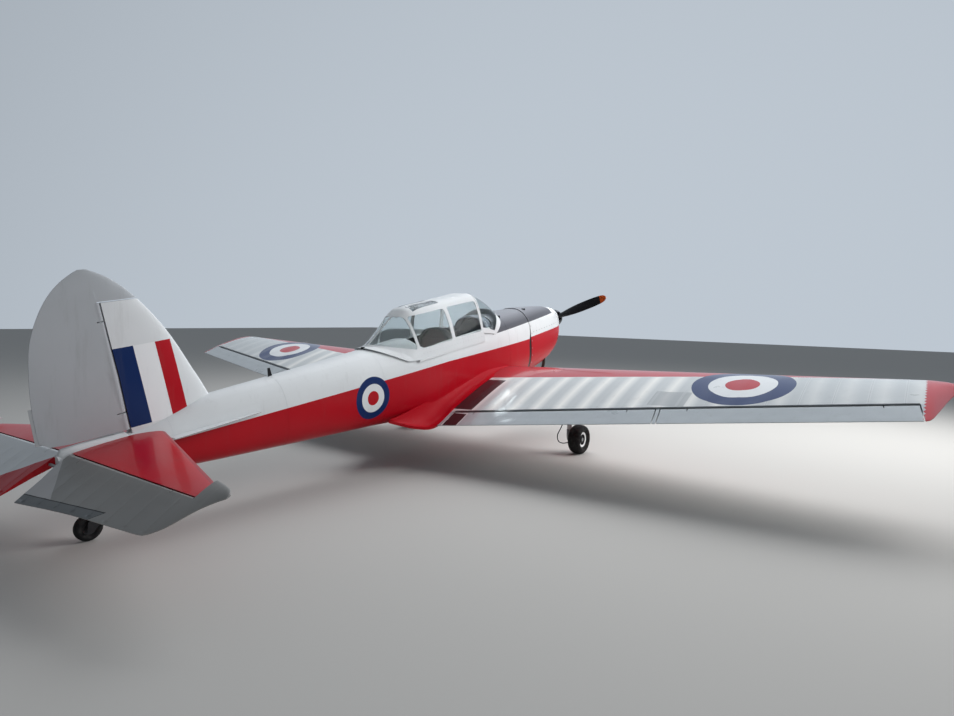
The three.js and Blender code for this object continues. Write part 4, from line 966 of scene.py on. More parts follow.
def tail_ring(x):
    lead, trail, thick = (along(TAIL, x, k) for k in (1, 2, 3))
    bay = (x / ELEVATOR_RIBS) % 1.0
    from_rib = min(bay, 1 - bay) * ELEVATOR_RIBS

    def dent(y):
        if not 0.14 < x < 1.58 or not 7.39 < y < trail - 0.02:
            return 0.0
        if from_rib < 0.0102:
            return 0.0007
        shallow = min(1.0, (y - 7.39) / 0.06, (trail - 0.02 - y) / 0.08)
        return -0.0024 * math.sin(math.pi * bay) ** 2 * shallow

    return [(x, y, z) for y, z in foil_ring(lead, TAIL_Z, trail, TAIL_Z, thick / (trail - lead), dent=dent)]


def tail_stations():
    marks = [0.05, 0.10]
    rib = ELEVATOR_RIBS
    while rib < 1.58:
        marks += [rib - 0.0105, rib - 0.010, rib + 0.010, rib + 0.0105]
        marks += [rib + ELEVATOR_RIBS * share for share in (0.2, 0.35, 0.5, 0.65, 0.8)]
        rib += ELEVATOR_RIBS
    marks = [m for m in marks if m < 1.575]
    return marks + spread(1.58, 1.80, 22) + [1.808, 1.815, 1.821, 1.825, 1.828]


def tail_red(x, y, z):
    """Red, darker where the sheet wraps round the leading edge: a painted shade."""
    return over(y < line_up(abs(x), 0.332, 6.662), RED, (0.30, 0.004, 0.012))


tail_blank = loft("tail_blank", [tail_ring(x) for x in tail_stations()])
start, end = ELEVATOR_HINGE
parts = hinge_parts("elevator", start, end, 0.032, 0.016, (0.12, 0.86))
bay = moved(bar("stabiliser_bay", [(-0.01, 0, 0), (1.622, 0, 0)], [0.0408, 0.0239], 48),
            Matrix.Translation((0, 7.34, TAIL_Z)))
combine(bay, [block("stabiliser_bay_aft", (-0.01, 1.622), (7.34, 8.2), (-0.4, 0.5))], "UNION")
stabiliser = copied(tail_blank, "stabiliser_skin_left")
combine(stabiliser, [bay, block("horn_room", (1.612, 1.9), (7.0, 7.7), (-0.2, 0.3))])
for plate in parts["plates"]:
    combine(stabiliser, [plate], "UNION")
share = parts["aft"]
combine(share, [block("horn_root", (1.600, 1.6225), (7.34, 7.7), (-0.2, 0.3))], "UNION")
elevator = copied(tail_blank, "elevator_skin_left")
combine(elevator, [share], "INTERSECT")
horn = combine(copied(tail_blank, "elevator_horn"),
               [block("horn_share", (1.622, 1.9), (7.0, 7.7), (-0.2, 0.3))], "INTERSECT")
combine(elevator, [parts["nose"], horn], "UNION")
NOTCH = [(0.0, 7.30), (0.072, 7.30), (0.072, 7.44), (0.104, 7.56), (0.126, 7.80), (0.0, 7.80)]
notch = loft("elevator_notch", [[(x, y, z) for x, y in NOTCH] for z in (-0.2, 0.3)])
combine(elevator, [notch, *parts["slots"]])
bpy.data.objects.remove(tail_blank)
bpy.data.objects.remove(parts["bay"])
droop = Matrix.Translation(start) @ Matrix.Rotation(DROOP, 4, "X") @ Matrix.Translation(Vector(start) * -1)
moved(elevator, droop)
red_tail = painted("stabiliser_red", tail_red, fading=0.9, grime=0.35)
both_sides(stabiliser, red_tail, "red_paint", "stabiliser", sharp=35)


def elevator_paint(x, y, z):
    """Silver dope in painted light to port and painted shade to starboard, a starboard trim tab and a root
    patch each side.
    """
    back = line_up(z - TAIL_Z, math.sin(DROOP), (y - ELEVATOR_HINGE[0][1]) * math.cos(DROOP))
    span = abs(x)
    port = x > 0.0
    # Port is lighter and starboard darker: painted light and painted shade over one silver dope.
    colour = over(port, (0.295, 0.290, 0.280), (0.66, 0.68, 0.69))
    tape = (span + 0.010) % ELEVATOR_RIBS < 0.020
    colour = over(tape * 0.03, colour, (0.66, 0.68, 0.68))
    # At the root, port is red and starboard has a paler patch, a painted patch of light.
    root = span < line_up(back, 1.35, 0.02)
    colour = over(root, colour, over(port, (0.50, 0.49, 0.49), RED))
    hinge = back - line_up(span, -0.095, 0.355)
    outer = line_up(back, -1.14, 1.36) - span
    tab = (hinge > 0.0) * (outer > 0.0)
    edge = tab * (calc("MINIMUM", hinge, outer) < 0.007)
    starboard = 1.0 - port
    colour = over(tab * starboard, colour, (0.15, 0.16, 0.165))
    return over(edge * starboard, colour, (0.02, 0.02, 0.02))


grey_dope = painted("elevator_silver", elevator_paint, gloss=0.36, metal=0.12, fading=0.6, grime=0.4,
                    coat=0.2)
both_sides(elevator, grey_dope, "silver_paint", "elevator", "elevators", sharp=35)
torque_bar = moved(bar("elevator_torque_bar", [(-0.0716, 7.428, TAIL_Z), (0.0716, 7.428, TAIL_Z)], 0.011,
                       24), droop)
finish_piece(torque_bar, painted("torque_bar_grey", (0.33, 0.35, 0.36), metal=0.5), "elevators",
             "silver_paint", ["elevator_bar"])

# Strakes
# Flat plates ahead of the stabiliser that help the aircraft out of a spin, white above and dark red below in
# painted shade.
STRAKE = [(0.060, 5.870), (0.216, 5.870), (0.232, 6.100), (0.222, 6.660), (0.060, 6.660)]


def strake_paint(x, y, z):
    # The lower half of the plate is dark red: painted shade under it.
    return over(z < 0.0285, WHITE, (0.10, 0.012, 0.016))


strake = loft("strake_plate_left", [[(x, y, z) for x, y in STRAKE] for z in (0.027, 0.033)])
strake_white = painted("strake_white", strake_paint)
both_sides(strake, strake_white, "white_paint", "strake")

# Spinner
# A spun aluminium cone over the propeller hub, painted black and screwed to a backplate.
SPINNER_LENGTH = 0.300
SPINNER_RADIUS = 0.148


def ring_about_y(y, radius, sides=64):
    return [(radius * math.cos(a), y, radius * math.sin(a))
            for a in (2 * math.pi * k / sides for k in range(sides))]


def spinner_radius(y):
    return SPINNER_RADIUS * math.sqrt(1 - (1 - y / SPINNER_LENGTH) ** 2) ** 1.15


PROP_STATION = 0.235
PROP_TURN = math.radians(20.3)
SPINNER_MARKS = [0.003, 0.006, 0.011, 0.018, 0.027] + spread(0.038, 0.27, 22) + [0.282, 0.284, 0.296]
spinner = loft("spinner_shell", [ring_about_y(y, spinner_radius(y)) for y in SPINNER_MARKS])
blade_rooms = []
for turn in (PROP_TURN, PROP_TURN + math.pi):
    room = rounded((0.03, 0.40), (PROP_STATION - 0.062, PROP_STATION + 0.062), (-0.062, 0.062), 0.02,
                   "blade_room")
    blade_rooms.append(moved(room, Matrix.Rotation(turn, 4, "Y")))
combine(spinner, blade_rooms + [bar("hub_room", [(0, 0.11, 0), (0, 0.42, 0)], 0.057, 48)])
gloss_black = painted("spinner_black", BLACK, gloss=0.22, fading=0.3, grime=0.1, coat=0.5)
finish_piece(spinner, gloss_black, "propeller", "black_paint", ["spinner"])

# Propeller
# Two forged metal blades, black with orange tips that warn people on the ground.
BLADE = [
    # distance from the hub, chord, thickness, pitch in degrees
    (0.030, 0.086, 0.064, 66.0),
    (0.160, 0.105, 0.046, 52.0),
    (0.300, 0.135, 0.028, 38.0),
    (0.500, 0.150, 0.018, 27.0),
    (0.700, 0.145, 0.014, 21.0),
    (0.880, 0.122, 0.011, 17.0),
    (0.952, 0.085, 0.008, 16.0),
    (0.978, 0.034, 0.006, 16.0),
]


def blade(turn):
    rings = []
    for t in spread(0, 1, 44):
        r = BLADE[0][0] + (BLADE[-1][0] - BLADE[0][0]) * t ** 0.85
        chord, thick, pitch = (along(BLADE, r, k) for k in (1, 2, 3))
        pitch = math.radians(pitch)
        ring = []
        for k in range(32):
            a = 2 * math.pi * k / 32
            u, w = chord / 2 * math.cos(a), thick / 2 * math.sin(a)
            ring.append((r, PROP_STATION + u * math.sin(pitch) + w * math.cos(pitch),
                         u * math.cos(pitch) - w * math.sin(pitch)))
        rings.append(ring)
    return moved(loft("blade", rings), Matrix.Rotation(turn, 4, "Y"))


def blade_paint(x, y, z):
    return over(distance(x, z) > 0.875, BLACK, (0.62, 0.10, 0.012))


propeller = blade(PROP_TURN)
propeller.name = "propeller_blades"
combine(propeller, [blade(PROP_TURN + math.pi), bar("hub", [(0, 0.12, 0), (0, 0.392, 0)], 0.056, 48)],
        "UNION")
combine(propeller, [bar("hub_front", [(0, -0.02, 0), (0, 0.121, 0)], 0.16, 48)])
finish_piece(propeller, painted("propeller_black", blade_paint, gloss=0.3), "propeller", "black_paint",
             ["propeller"])

# Engine and firewall
# A plain block stands for the engine in its cowling. A thin steel sheet closes the front of the fuselage.
def bare(name, colour, rough, metal=1.0, scale=60.0, height=0.0003, grime=0.35):
    """Bare metal or moulded stuff, with a fine grain in its surface."""
    material = painted(name, colour, gloss=rough, fading=0.8, grime=grime, metal=metal, coat=0.0,
                       peel=height)
    tree = material.node_tree
    plug(tree.nodes["Bump"], {"Height": noise(tree, own_place(tree), Scale=scale, Detail=3.0)})
    return material


def dress(material, *names):
    """Gives CAD solids that stay in view a material."""
    for name in names:
        solid_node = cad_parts[name]
        solid_node.data.materials.clear()
        solid_node.data.materials.append(material)


dress(bare("firewall_steel", (0.36, 0.36, 0.35), 0.45), "firewall")
dress(bare("engine_castings", (0.16, 0.165, 0.17), 0.5, metal=0.7, scale=140, height=0.0008), "engine")

# Cockpits
# Sheet aluminium bucket seats on the floor, each with a leather cushion, a back pad and a webbing harness.
# A padded coaming stands over each instrument panel. The shell is painted a dull grey green inside.
SEATS = {"front": 2.800, "rear": 3.560}
SEAT_LEAN = math.radians(14.04)
PAD_SWELL = 0.008


def swollen(name, x, y, thick, radius, voxel=0.006):
    """A leather pad flat on z = 0: a block, remeshed evenly and blown up a little by cloth pressure."""
    pad = rounded(x, y, (0.006, thick - 0.005), radius, name)
    remesh = pad.modifiers.new("even", "REMESH")
    remesh.mode = "VOXEL"
    remesh.voxel_size = voxel
    settle(pad)
    rest = [v.co.copy() for v in pad.data.vertices]
    cloth = pad.modifiers.new("pressure", "CLOTH")
    cloth.settings.use_pressure = True
    cloth.settings.uniform_pressure_force = 4.0
    cloth.settings.effector_weights.gravity = 0.0
    for step in range(1, 21):
        scene.frame_set(step)
    settle(pad)
    scene.frame_set(1)
    for vertex, old in zip(pad.data.vertices, rest):
        shift = vertex.co - old
        if shift.length > PAD_SWELL:
            vertex.co = old + shift.normalized() * PAD_SWELL
    fine = pad.modifiers.new("smooth", "SUBSURF")
    fine.levels = fine.render_levels = 1
    return settle(pad)


def strap(name, path, width, across=(1, 0, 0), thick=0.0024):
    """A flat webbing strap along points, whose width runs along a given direction."""
    rings = []
    points = [Vector(p) for p in path]
    for k, here in enumerate(points):
        way = (points[min(k + 1, len(points) - 1)] - points[max(k - 1, 0)]).normalized()
        side = (Vector(across) - way * way.dot(Vector(across))).normalized()
        out = side.cross(way) * thick
        rings.append([tuple(here + side * (width / 2)), tuple(here + side * (width / 2) + out),
                      tuple(here - side * (width / 2) + out), tuple(here - side * (width / 2))])
    return loft(name, rings)


def leather(name, colour):
    """Grained leather: fine cells in its bump and a little wear in its colour."""
    material = painted(name, colour, gloss=0.48, fading=0.9, grime=0.25, coat=0.0)
    tree = material.node_tree
    cells = {"Vector": own_place(tree), "Scale": 240.0}
    grain = field(tree, "ShaderNodeTexVoronoi", cells, "Distance", feature="SMOOTH_F1")
    plug(tree.nodes["Bump"], {"Height": grain, "Distance": 0.0012})
    return material


def along_seat(up, out=0.0, x=0.0):
    """A point over the face of a seat back, from its foot up along it and forward off it."""
    return (x, 0.170 + up * math.sin(SEAT_LEAN) - out * math.cos(SEAT_LEAN),
            -0.250 + up * math.cos(SEAT_LEAN) + out * math.sin(SEAT_LEAN))


pan = rounded((-0.205, 0.205), (-0.190, 0.190), (-0.250, -0.190), 0.04, "seat_pan")
combine(pan, [rounded((-0.200, 0.200), (-0.185, 0.185), (-0.245, -0.1), 0.035, "pan_room")])
back = side_prism("seat_back", [(0.170, -0.250), (0.215, -0.250), (0.310, 0.130), (0.265, 0.130)], -0.200,
                  0.200)
combine(back, [side_prism("back_room", [(0.10, -0.246), (0.210, -0.246), (0.3037, 0.128), (0.20, 0.128)],
                          -0.195, 0.195)])
corners = moved(rounded((-0.200, 0.200), (-0.30, 0.130), (-0.5, 0.5), 0.07, "back_corners"),
                Matrix.Translation((0, 0.2, 0)) @ Matrix.Rotation(math.pi / 2, 4, "X"))
combine(back, [corners], "INTERSECT")
combine(pan, [back], "UNION")
for side in (-1, 1):
    plate = block("seat_leg", sorted((side * 0.172, side * 0.180)), (-0.120, 0.150),
                  (COCKPIT_FLOOR + 0.0004, -0.248))
    holes = [bar("leg_hole", [(side * 0.15, y, -0.345), (side * 0.20, y, -0.345)], 0.036, 32)
             for y in (-0.060, 0.095)]
    combine(plate, holes)
    combine(pan, [plate], "UNION")
tubes = [bar("seat_tube", [(-0.176, y, -0.400), (0.176, y, -0.400)], 0.010, 16) for y in (-0.100, 0.130)]
combine(pan, tubes, "UNION")
cushion = swollen("cushion", (-0.186, 0.186), (-0.170, 0.150), 0.052, 0.05)
moved(cushion, Matrix.Translation((0, 0, -0.2440)))
pad_place = Matrix.Translation(along_seat(0.045, -0.036)) @ Matrix.Rotation(math.pi / 2 - SEAT_LEAN, 4, "X")
back_pad = moved(swollen("back_pad", (-0.176, 0.176), (0.0, 0.325), 0.036, 0.06), pad_place)
straps = []
for side in (-1, 1):
    over_top = [along_seat(u, o, side * x) for u, o,
                x in ((0.378, -0.030, 0.075), (0.384, -0.012, 0.075), (0.380, 0.004, 0.075),
                (0.340, 0.006, 0.073), (0.240, 0.008, 0.066), (0.140, 0.009, 0.055), (0.085, 0.014, 0.046))]
    on_cushion = [(side * 0.036, 0.105, -0.180), (side * 0.030, 0.050, -0.181)]
    straps.append(strap("shoulder_strap", over_top + on_cushion, 0.044))
    lap = [(side * x, y, z) for x, y, z in ((0.196, 0.120, -0.232), (0.190, 0.112, -0.196),
                                            (0.160, 0.092, -0.181), (0.100, 0.062, -0.180),
           (0.032, 0.040, -0.179))]
    straps.append(strap("lap_strap", lap, 0.044, (0, 1, 0)))
harness = combine(straps[0], straps[1:], "UNION")
buckle = bar("buckle", [(0, 0.045, -0.181), (0, 0.045, -0.168)], 0.026, 32)
combine(buckle, [bar("buckle_disc", [(0, 0.045, -0.170), (0, 0.045, -0.162)], 0.016, 24)], "UNION")
seat_metal = bare("seat_green_grey", (0.17, 0.19, 0.175), 0.5, metal=0.3, scale=70)
hide = leather("seat_leather", (0.060, 0.016, 0.012))
webbing = painted("harness_webbing", (0.030, 0.035, 0.040), gloss=0.7, fading=0.8, grime=0.5, coat=0.0)
for name, station in SEATS.items():
    shift = Matrix.Translation((0, station, 0))
    kinds = ((pan, "bucket", seat_metal), (cushion, "cushion", hide), (back_pad, "back_pad", hide),
             (harness, "harness", webbing),
             (buckle, "buckle", bare(f"buckle_{name}_steel", (0.45, 0.45, 0.44), 0.3)))
    for source, kind, material in kinds:
        piece = moved(copied(source, f"seat_{kind}_{name}"), shift)
        finish_piece(piece, material, slot="seat_cover" if kind in ("cushion", "back_pad")
                     else "bare_metal",
                     nodes=[f"seat_{name}"], sharp=60 if kind in ("cushion", "back_pad") else 35)
        kind in ("cushion", "back_pad")
for source in (pan, cushion, back_pad, harness, buckle):
    bpy.data.objects.remove(source)


def arch(name, marks, depth):
    """A band bent over the cockpit through (station, half width, peak, foot), a few millimetres deep."""
    rings = []
    for y, half, peak, foot in marks:
        ring = []
        for grow, angles in ((0.0, spread(0, 180, 32)), (-depth, spread(180, 0, 32))):
            for a in (math.radians(d) for d in angles):
                ring.append(((half + grow) * power(math.cos(a), 0.85), y,
                             foot + (peak - foot + grow) * power(max(0.0, math.sin(a)), 0.85)))
        rings.append(ring)
    return loft(name, rings)


coamings = {"front": leather("coaming_slate", (0.20, 0.22, 0.265)),
            "rear": leather("coaming_leather", (0.016, 0.016, 0.018))}
for name, marks in (("front", ((2.318, 0.255, 0.352, 0.145), (2.325, 0.262, 0.362, 0.140),
                               (2.440, 0.262, 0.366, 0.140), (2.462, 0.258, 0.360, 0.142),
                               (2.468, 0.250, 0.352, 0.148))),
                    ("rear", ((3.118, 0.240, 0.316, 0.105), (3.122, 0.246, 0.326, 0.100),
                              (3.196, 0.246, 0.330, 0.100), (3.206, 0.240, 0.320, 0.105)))):
    finish_piece(arch(f"coaming_{name}", marks, 0.010), coamings[name], slot="seat_cover",
                 nodes=["fuselage"], sharp=50)
face = [(0.236 * math.cos(a), 0.102 + 0.214 * power(math.sin(a), 0.85))
        for a in (math.radians(d) for d in spread(0, 180, 32))]
coaming_face = loft("coaming_face", [[(x, y, z) for x, z in face] for y in (3.1265, 3.1285)])
finish_piece(coaming_face, leather("face_leather", (0.070, 0.014, 0.014)), slot="seat_cover",
             nodes=["fuselage"], sharp=50)
DIALS = ((-0.135, 0.060), (-0.045, 0.060), (0.045, 0.060), (0.135, 0.060), (-0.135, -0.035),
         (-0.045, -0.035), (0.045, -0.035), (0.135, -0.035),
         (-0.215, 0.015), (0.215, 0.015))


def panel_paint(colour):
    def paint(x, y, z):
        """Round dials with pale edges on a dark sheet."""
        result = colour
        for across, up in DIALS:
            reach = distance(x - across, z - up)
            result = over(reach < 0.040, result, (0.010, 0.010, 0.011))
            result = over(between(reach, 0.036, 0.039), result, (0.30, 0.30, 0.29))
        return result
    return paint


dress(painted("panel_slate", panel_paint((0.095, 0.105, 0.128)), gloss=0.5, fading=0.6, grime=0.2,
              coat=0.0), "panel_front")
dress(painted("panel_brown", panel_paint((0.075, 0.018, 0.016)), gloss=0.5, fading=0.6, grime=0.2,
              coat=0.0), "panel_rear")
dress(bare("stick_metal", (0.10, 0.10, 0.105), 0.4, metal=0.5), "stick_front", "stick_rear")

# Sliding hood
# A white frame of bent sheet over two arches that runs on the sill rails, with clear panes let into it.
HOOD = [
    # station, half width, top, sill height, roundness, and how much of the half width is lost on the way up
    (2.600, 0.364, 0.682, 0.095, 5.0, 0.280),
    (2.640, 0.364, 0.682, 0.095, 5.0, 0.280),
    (2.900, 0.364, 0.673, 0.095, 4.4, 0.290),
    (3.260, 0.364, 0.667, 0.095, 3.9, 0.300),
    (3.600, 0.360, 0.663, 0.095, 3.6, 0.335),
    (3.760, 0.355, 0.648, 0.095, 3.3, 0.370),
    (3.860, 0.349, 0.603, 0.095, 3.1, 0.390),
    (3.950, 0.345, 0.551, 0.096, 2.7, 0.430),
    (4.045, 0.329, 0.492, 0.106, 2.4, 0.460),
    (4.100, 0.313, 0.459, 0.130, 2.3, 0.480),
    (4.187, 0.276, 0.406, 0.178, 2.0, 0.500),
    (4.278, 0.222, 0.350, 0.226, 1.8, 0.500),
    (4.340, 0.158, 0.316, 0.260, 1.6, 0.500),
    (4.384, 0.084, 0.290, 0.276, 1.5, 0.500),
]
HOOD_WALL = 0.009
SKIRT_EDGE = [(3.925, 0.095), (3.935, 0.096), (3.985, 0.099), (4.045, 0.108), (4.100, 0.133),
              (4.187, 0.182), (4.278, 0.230),
              (4.340, 0.266), (4.372, 0.283), (4.400, 0.300)]
PANES = {
    "front": ((2.672, 0.216), (3.208, 0.221), (3.204, 0.585), (2.668, 0.592)),
    "rear": ((3.266, 0.213), (3.830, 0.206), (3.836, 0.562), (3.266, 0.578)),
    "quarter": ((3.868, 0.203), (4.180, 0.285), (4.330, 0.336), (4.400, 0.345), (4.400, 0.578),
                (3.970, 0.576), (3.866, 0.567)),
}
SPINE = 0.012
PANE_CORNER = 0.035


def hood_ring(y, shrink=0.0, at=None):
    half, top, sill, rounding, lean = (along(HOOD, y, k) for k in range(1, 6))
    half, top = half - shrink, top - shrink
    place = y if at is None else at
    arch = []
    for a in (math.radians(d) for d in spread(0, 180, 72)):
        rise = power(max(0.0, math.sin(a)), 2 / rounding)
        arch.append((half * power(math.cos(a), 2 / rounding) * (1 - lean * rise), place,
                     sill + (top - sill) * rise))
    low = sill - (0.04 if shrink else 0.001)
    return [(half, place, low), *arch, (-half, place, low)]


def soft_corners(outline, radius, inset=0.0, turns=6):
    """An outline moved in a little, with its corners rounded by arcs."""
    count = len(outline)
    points = [Vector(p) for p in outline]
    inner = []
    for k in range(count):
        before = (points[k] - points[k - 1]).normalized()
        after = (points[(k + 1) % count] - points[k]).normalized()
        n0, n1 = Vector((-before.y, before.x)), Vector((-after.y, after.x))
        inner.append(points[k] + (n0 + n1) * (inset / (1 + n0.dot(n1))))
    result = []
    for k in range(count):
        here = inner[k]
        before, after = (inner[k - 1] - here).normalized(), (inner[(k + 1) % count] - here).normalized()
        corner = math.acos(max(-1.0, min(1.0, before.dot(after))))
        reach = min(radius / math.tan(corner / 2), 0.45 * (inner[k - 1] - here).length,
                    0.45 * (inner[(k + 1) % count] - here).length)
        a, b = here + before * reach, here + after * reach
        for t in spread(0, 1, turns):
            result.append(a * (1 - t) ** 2 + here * 2 * t * (1 - t) + b * t**2)
    return result


def skirt_skin(name, grow):
    return loft(name, [body_ring(y, grow) for y in spread(3.925, 4.400, 24)])


HOOD_FRONT = 2.64
HOOD_TAIL = 4.384
GLASS_OUTSIDE = 0.0025
GLASS_INSIDE = 0.0065
hood_marks = spread(HOOD_FRONT, 3.76, 22) + spread(3.78, 4.36, 30) + [4.372, HOOD_TAIL]
hood = loft("hood_shell", [hood_ring(y) for y in hood_marks])
inside = [hood_ring(HOOD_FRONT, HOOD_WALL, at=2.63)] + [hood_ring(y, HOOD_WALL) for y in hood_marks[1:-2]]
hood_room = loft("hood_room", inside)
body_room = loft("body_room", [body_ring(y, SWING + 0.002) for y in [1.44] + fuselage_stations()])
edge_line = [*SKIRT_EDGE, (4.401, 0.7), (2.6, 0.7), (2.6, 0.06), (3.924, 0.06)]
above_edge = side_prism("above_edge", edge_line, -0.52, 0.52)
skirt = skirt_skin("hood_skirt", 0.019)
combine(skirt, [hood_room, body_room], keep=True)
combine(skirt, [above_edge], "INTERSECT", keep=True)
combine(hood, [hood_room, body_room])
combine(hood, [above_edge], "INTERSECT")
combine(hood, [skirt], "UNION")
glass_skin = loft("glass_skin", [hood_ring(y, GLASS_OUTSIDE) for y in hood_marks])
inside = [hood_ring(HOOD_FRONT, GLASS_INSIDE, at=2.63)]
inside += [hood_ring(y, GLASS_INSIDE) for y in hood_marks[1:-1]]
glass_room = loft("glass_room", inside + [hood_ring(HOOD_TAIL, GLASS_INSIDE, at=4.39)])
combine(glass_skin, [glass_room])


def clear_glass(name, tint, rough=0.02):
    """Clear acrylic sheet, with faint smears in its gloss."""
    material = bpy.data.materials.new(name)
    material.use_nodes = True
    tree = material.node_tree
    smear = noise(tree, own_place(tree), Scale=9.0, Detail=5.0)
    plug(tree.nodes["Principled BSDF"], {
        "Base Color": (*tint, 1), "Metallic": 0.0, "Transmission Weight": 1.0, "IOR": 1.16,
        "Roughness": ramp(smear, 0.4, 0.8, rough, rough + 0.08),
    })
    return material


acrylic = clear_glass("clear_acrylic", (0.84, 0.88, 0.88))
for name, outline in PANES.items():
    for side, flip in (("left", 1), ("right", -1)):
        hole = side_prism("pane_hole", soft_corners(outline, PANE_CORNER), SPINE * flip, 0.520 * flip)
        if name == "quarter":
            combine(hole, [skirt_skin("skirt_top", 0.019)])
        combine(hood, [hole])
        pane = copied(glass_skin, f"pane_{name}_{side}")
        if name == "quarter":
            combine(pane, [skirt_skin("skirt_top", 0.0194)])
        edge = side_prism("pane_edge", soft_corners(outline, PANE_CORNER, 0.0004), (SPINE + 0.0004) * flip,
                          0.520 * flip)
        combine(pane, [edge], "INTERSECT")
        finish_piece(pane, acrylic, "hood", "clear_glass", [f"hood_pane_{name}_{side}"], sharp=50)
roof_acrylic = clear_glass("roof_acrylic", (0.62, 0.66, 0.68), 0.2)
for side, flip in (("left", 1), ("right", -1)):
    combine(hood, [block("roof_slot", sorted((0.034 * flip, 0.160 * flip)), (3.262, 3.728), (0.56, 0.80))])
    roof_pane = copied(glass_skin, f"pane_roof_{side}")
    edge = block("roof_edge", sorted((0.0345 * flip, 0.1595 * flip)), (3.2625, 3.7275), (0.56, 0.80))
    combine(roof_pane, [edge], "INTERSECT")
    finish_piece(roof_pane, roof_acrylic, "hood", "clear_glass", [f"hood_pane_roof_{side}"], sharp=50)
bpy.data.objects.remove(glass_skin)
frame_white = painted("hood_frame_white", (0.72, 0.74, 0.75), gloss=0.25)
finish_piece(hood, frame_white, "hood", "white_paint", ["hood_frame"], sharp=40)

# Windscreen
# A bent clear sheet in a white frame, screwed to the deck ahead of the front cockpit and to an arch.
def screen_point(u, v):
    a = math.pi * u
    c, s = math.cos(a), math.sin(a)
    rise = max(0.0, s) ** 0.8
    reach = math.copysign(1 - 0.26 * rise, c) * max(0.0, 1 - rise**5) ** 0.2
    top = (0.354 * reach, 2.628, 0.095 + 0.585 * rise)
    base = (0.345 * power(c, 0.9), 2.440 - 0.400 * s**0.8, 0.095 + 0.262 * s**0.9)
    bulge = 0.034 * math.sin(math.pi * v) * s
    x, y, z = (b + (t - b) * v for b, t in zip(base, top))
    return Vector((x, y - bulge, z + bulge * 0.5))


def screen_sheet(name, u0, u1, v0, v1, shallow, deep, rows=18, columns=72):
    """A bent sheet between two depths measured along its own normals."""
    us, vs = spread(u0, u1, columns), spread(v0, v1, rows)
    grid = [[screen_point(u, v) for u in us] for v in vs]
    layers = []
    for depth in (shallow, deep):
        for i in range(rows + 1):
            for j in range(columns + 1):
                across = grid[i][min(j + 1, columns)] - grid[i][max(j - 1, 0)]
                upwards = grid[min(i + 1, rows)][j] - grid[max(i - 1, 0)][j]
                layers.append(LEVEL @ (grid[i][j] + across.cross(upwards).normalized() * depth))
    half, wide = (rows + 1) * (columns + 1), columns + 1
    faces = []
    for i in range(rows):
        for j in range(columns):
            a = i * wide + j
            faces += [(a, a + 1, a + wide + 1, a + wide),
                      (half + a, half + a + wide, half + a + wide + 1, half + a + 1)]
    rim = list(range(wide)) + [i * wide + columns for i in range(1, rows + 1)]
    rim += [rows * wide + j for j in range(columns - 1, -1, -1)]
    rim += [i * wide for i in range(rows - 1, 0, -1)]
    for a, b in zip(rim, rim[1:] + rim[:1]):
        faces.append((b, a, half + a, half + b))
    return solid(name, layers, faces)


screen_frame = screen_sheet("windscreen_surround", 0.03, 0.97, -0.06, 1, 0, 0.009)
combine(screen_frame, [screen_sheet("screen_hole", 0.062, 0.938, 0.1685, 0.966, -0.020, 0.030)])
finish_piece(screen_frame, frame_white, slot="white_paint", nodes=["windscreen_frame"], sharp=40)
screen_glass = screen_sheet("windscreen_glass", 0.0645, 0.9355, 0.1705, 0.9640, 0.0025, 0.0065)
finish_piece(screen_glass, acrylic, slot="clear_glass", nodes=["windscreen"], sharp=50)

# Main landing gear legs
# Fixed oleo legs: a painted upper tube, a bright sliding tube below it and a stub axle with a brake plate.
LEG = 1.262
leg = bar("gear_oleo_left", [(LEG, 2.152, -0.498), (LEG, 2.160, -0.640), (LEG, 2.172, -0.800),
                       (LEG, 2.1735, -0.815)],
          [0.056, 0.052, 0.050, 0.046], 40)
slider = bar("leg_slider", [(LEG, 2.171, -0.79), (LEG, 2.196, -1.10)], [0.033, 0.033], 40)
foot = bar("leg_foot", [(LEG, 2.1945, -1.085), (LEG, 2.1955, -1.092), (LEG, 2.2045, -1.162),
                        (LEG, 2.210, -1.200), (LEG, 2.213, -1.232)],
           [0.034, 0.038, 0.038, 0.036, 0.028], 40)
axle_line = [(x, MAIN_HUB.y, MAIN_HUB.z) for x in (LEG, MAIN_HUB.x + 0.052)]
axle = bar("leg_axle", axle_line, 0.0204, 32)
combine(leg, [slider, foot, axle], "UNION")


def leg_paint(x, y, z):
    return over(between(z, -1.082, -0.816), (0.30, 0.32, 0.33), (0.72, 0.73, 0.74))


leg_grey = painted("gear_leg_grey", leg_paint, gloss=0.3, metal=0.5, grime=0.8)
both_sides(leg, leg_grey, "bare_metal", "gear_leg", sharp=35)
dress(bare("brake_plate_metal", (0.20, 0.20, 0.21), 0.45, metal=0.8, scale=90), "brake_left", "brake_right")

# Brake hoses
# Black rubber hoses that loop from each leg to its brake and stay full of oil.
HOSE = [(0, 2.2217, -0.880), (-0.014, 2.280, -0.930), (-0.058, 2.310, -1.040), (-0.088, 2.355, -1.130),
        (-0.084, 2.350, -1.210), (-0.050, 2.300, -1.250), (-0.004, 2.236, -1.254), (0.028, 2.224, -1.250),
        (0.0396, 2.224, -1.250)]


def smooth_path(points, count):
    """Points along a smooth curve through the given ones."""
    path = [Vector(p) for p in points]
    path = [path[0] * 2 - path[1], *path, path[-1] * 2 - path[-2]]
    curve = []
    for k in range(1, len(path) - 2):
        p0, p1, p2, p3 = path[k - 1:k + 3]
        for t in spread(0, 1, count)[:-1]:
            curve.append(0.5 * (2 * p1 + (p2 - p0) * t + (2 * p0 - 5 * p1 + 4 * p2 - p3) * t**2
                                + (3 * p1 - p0 - 3 * p2 + p3) * t**3))
    return curve + [path[-2]]


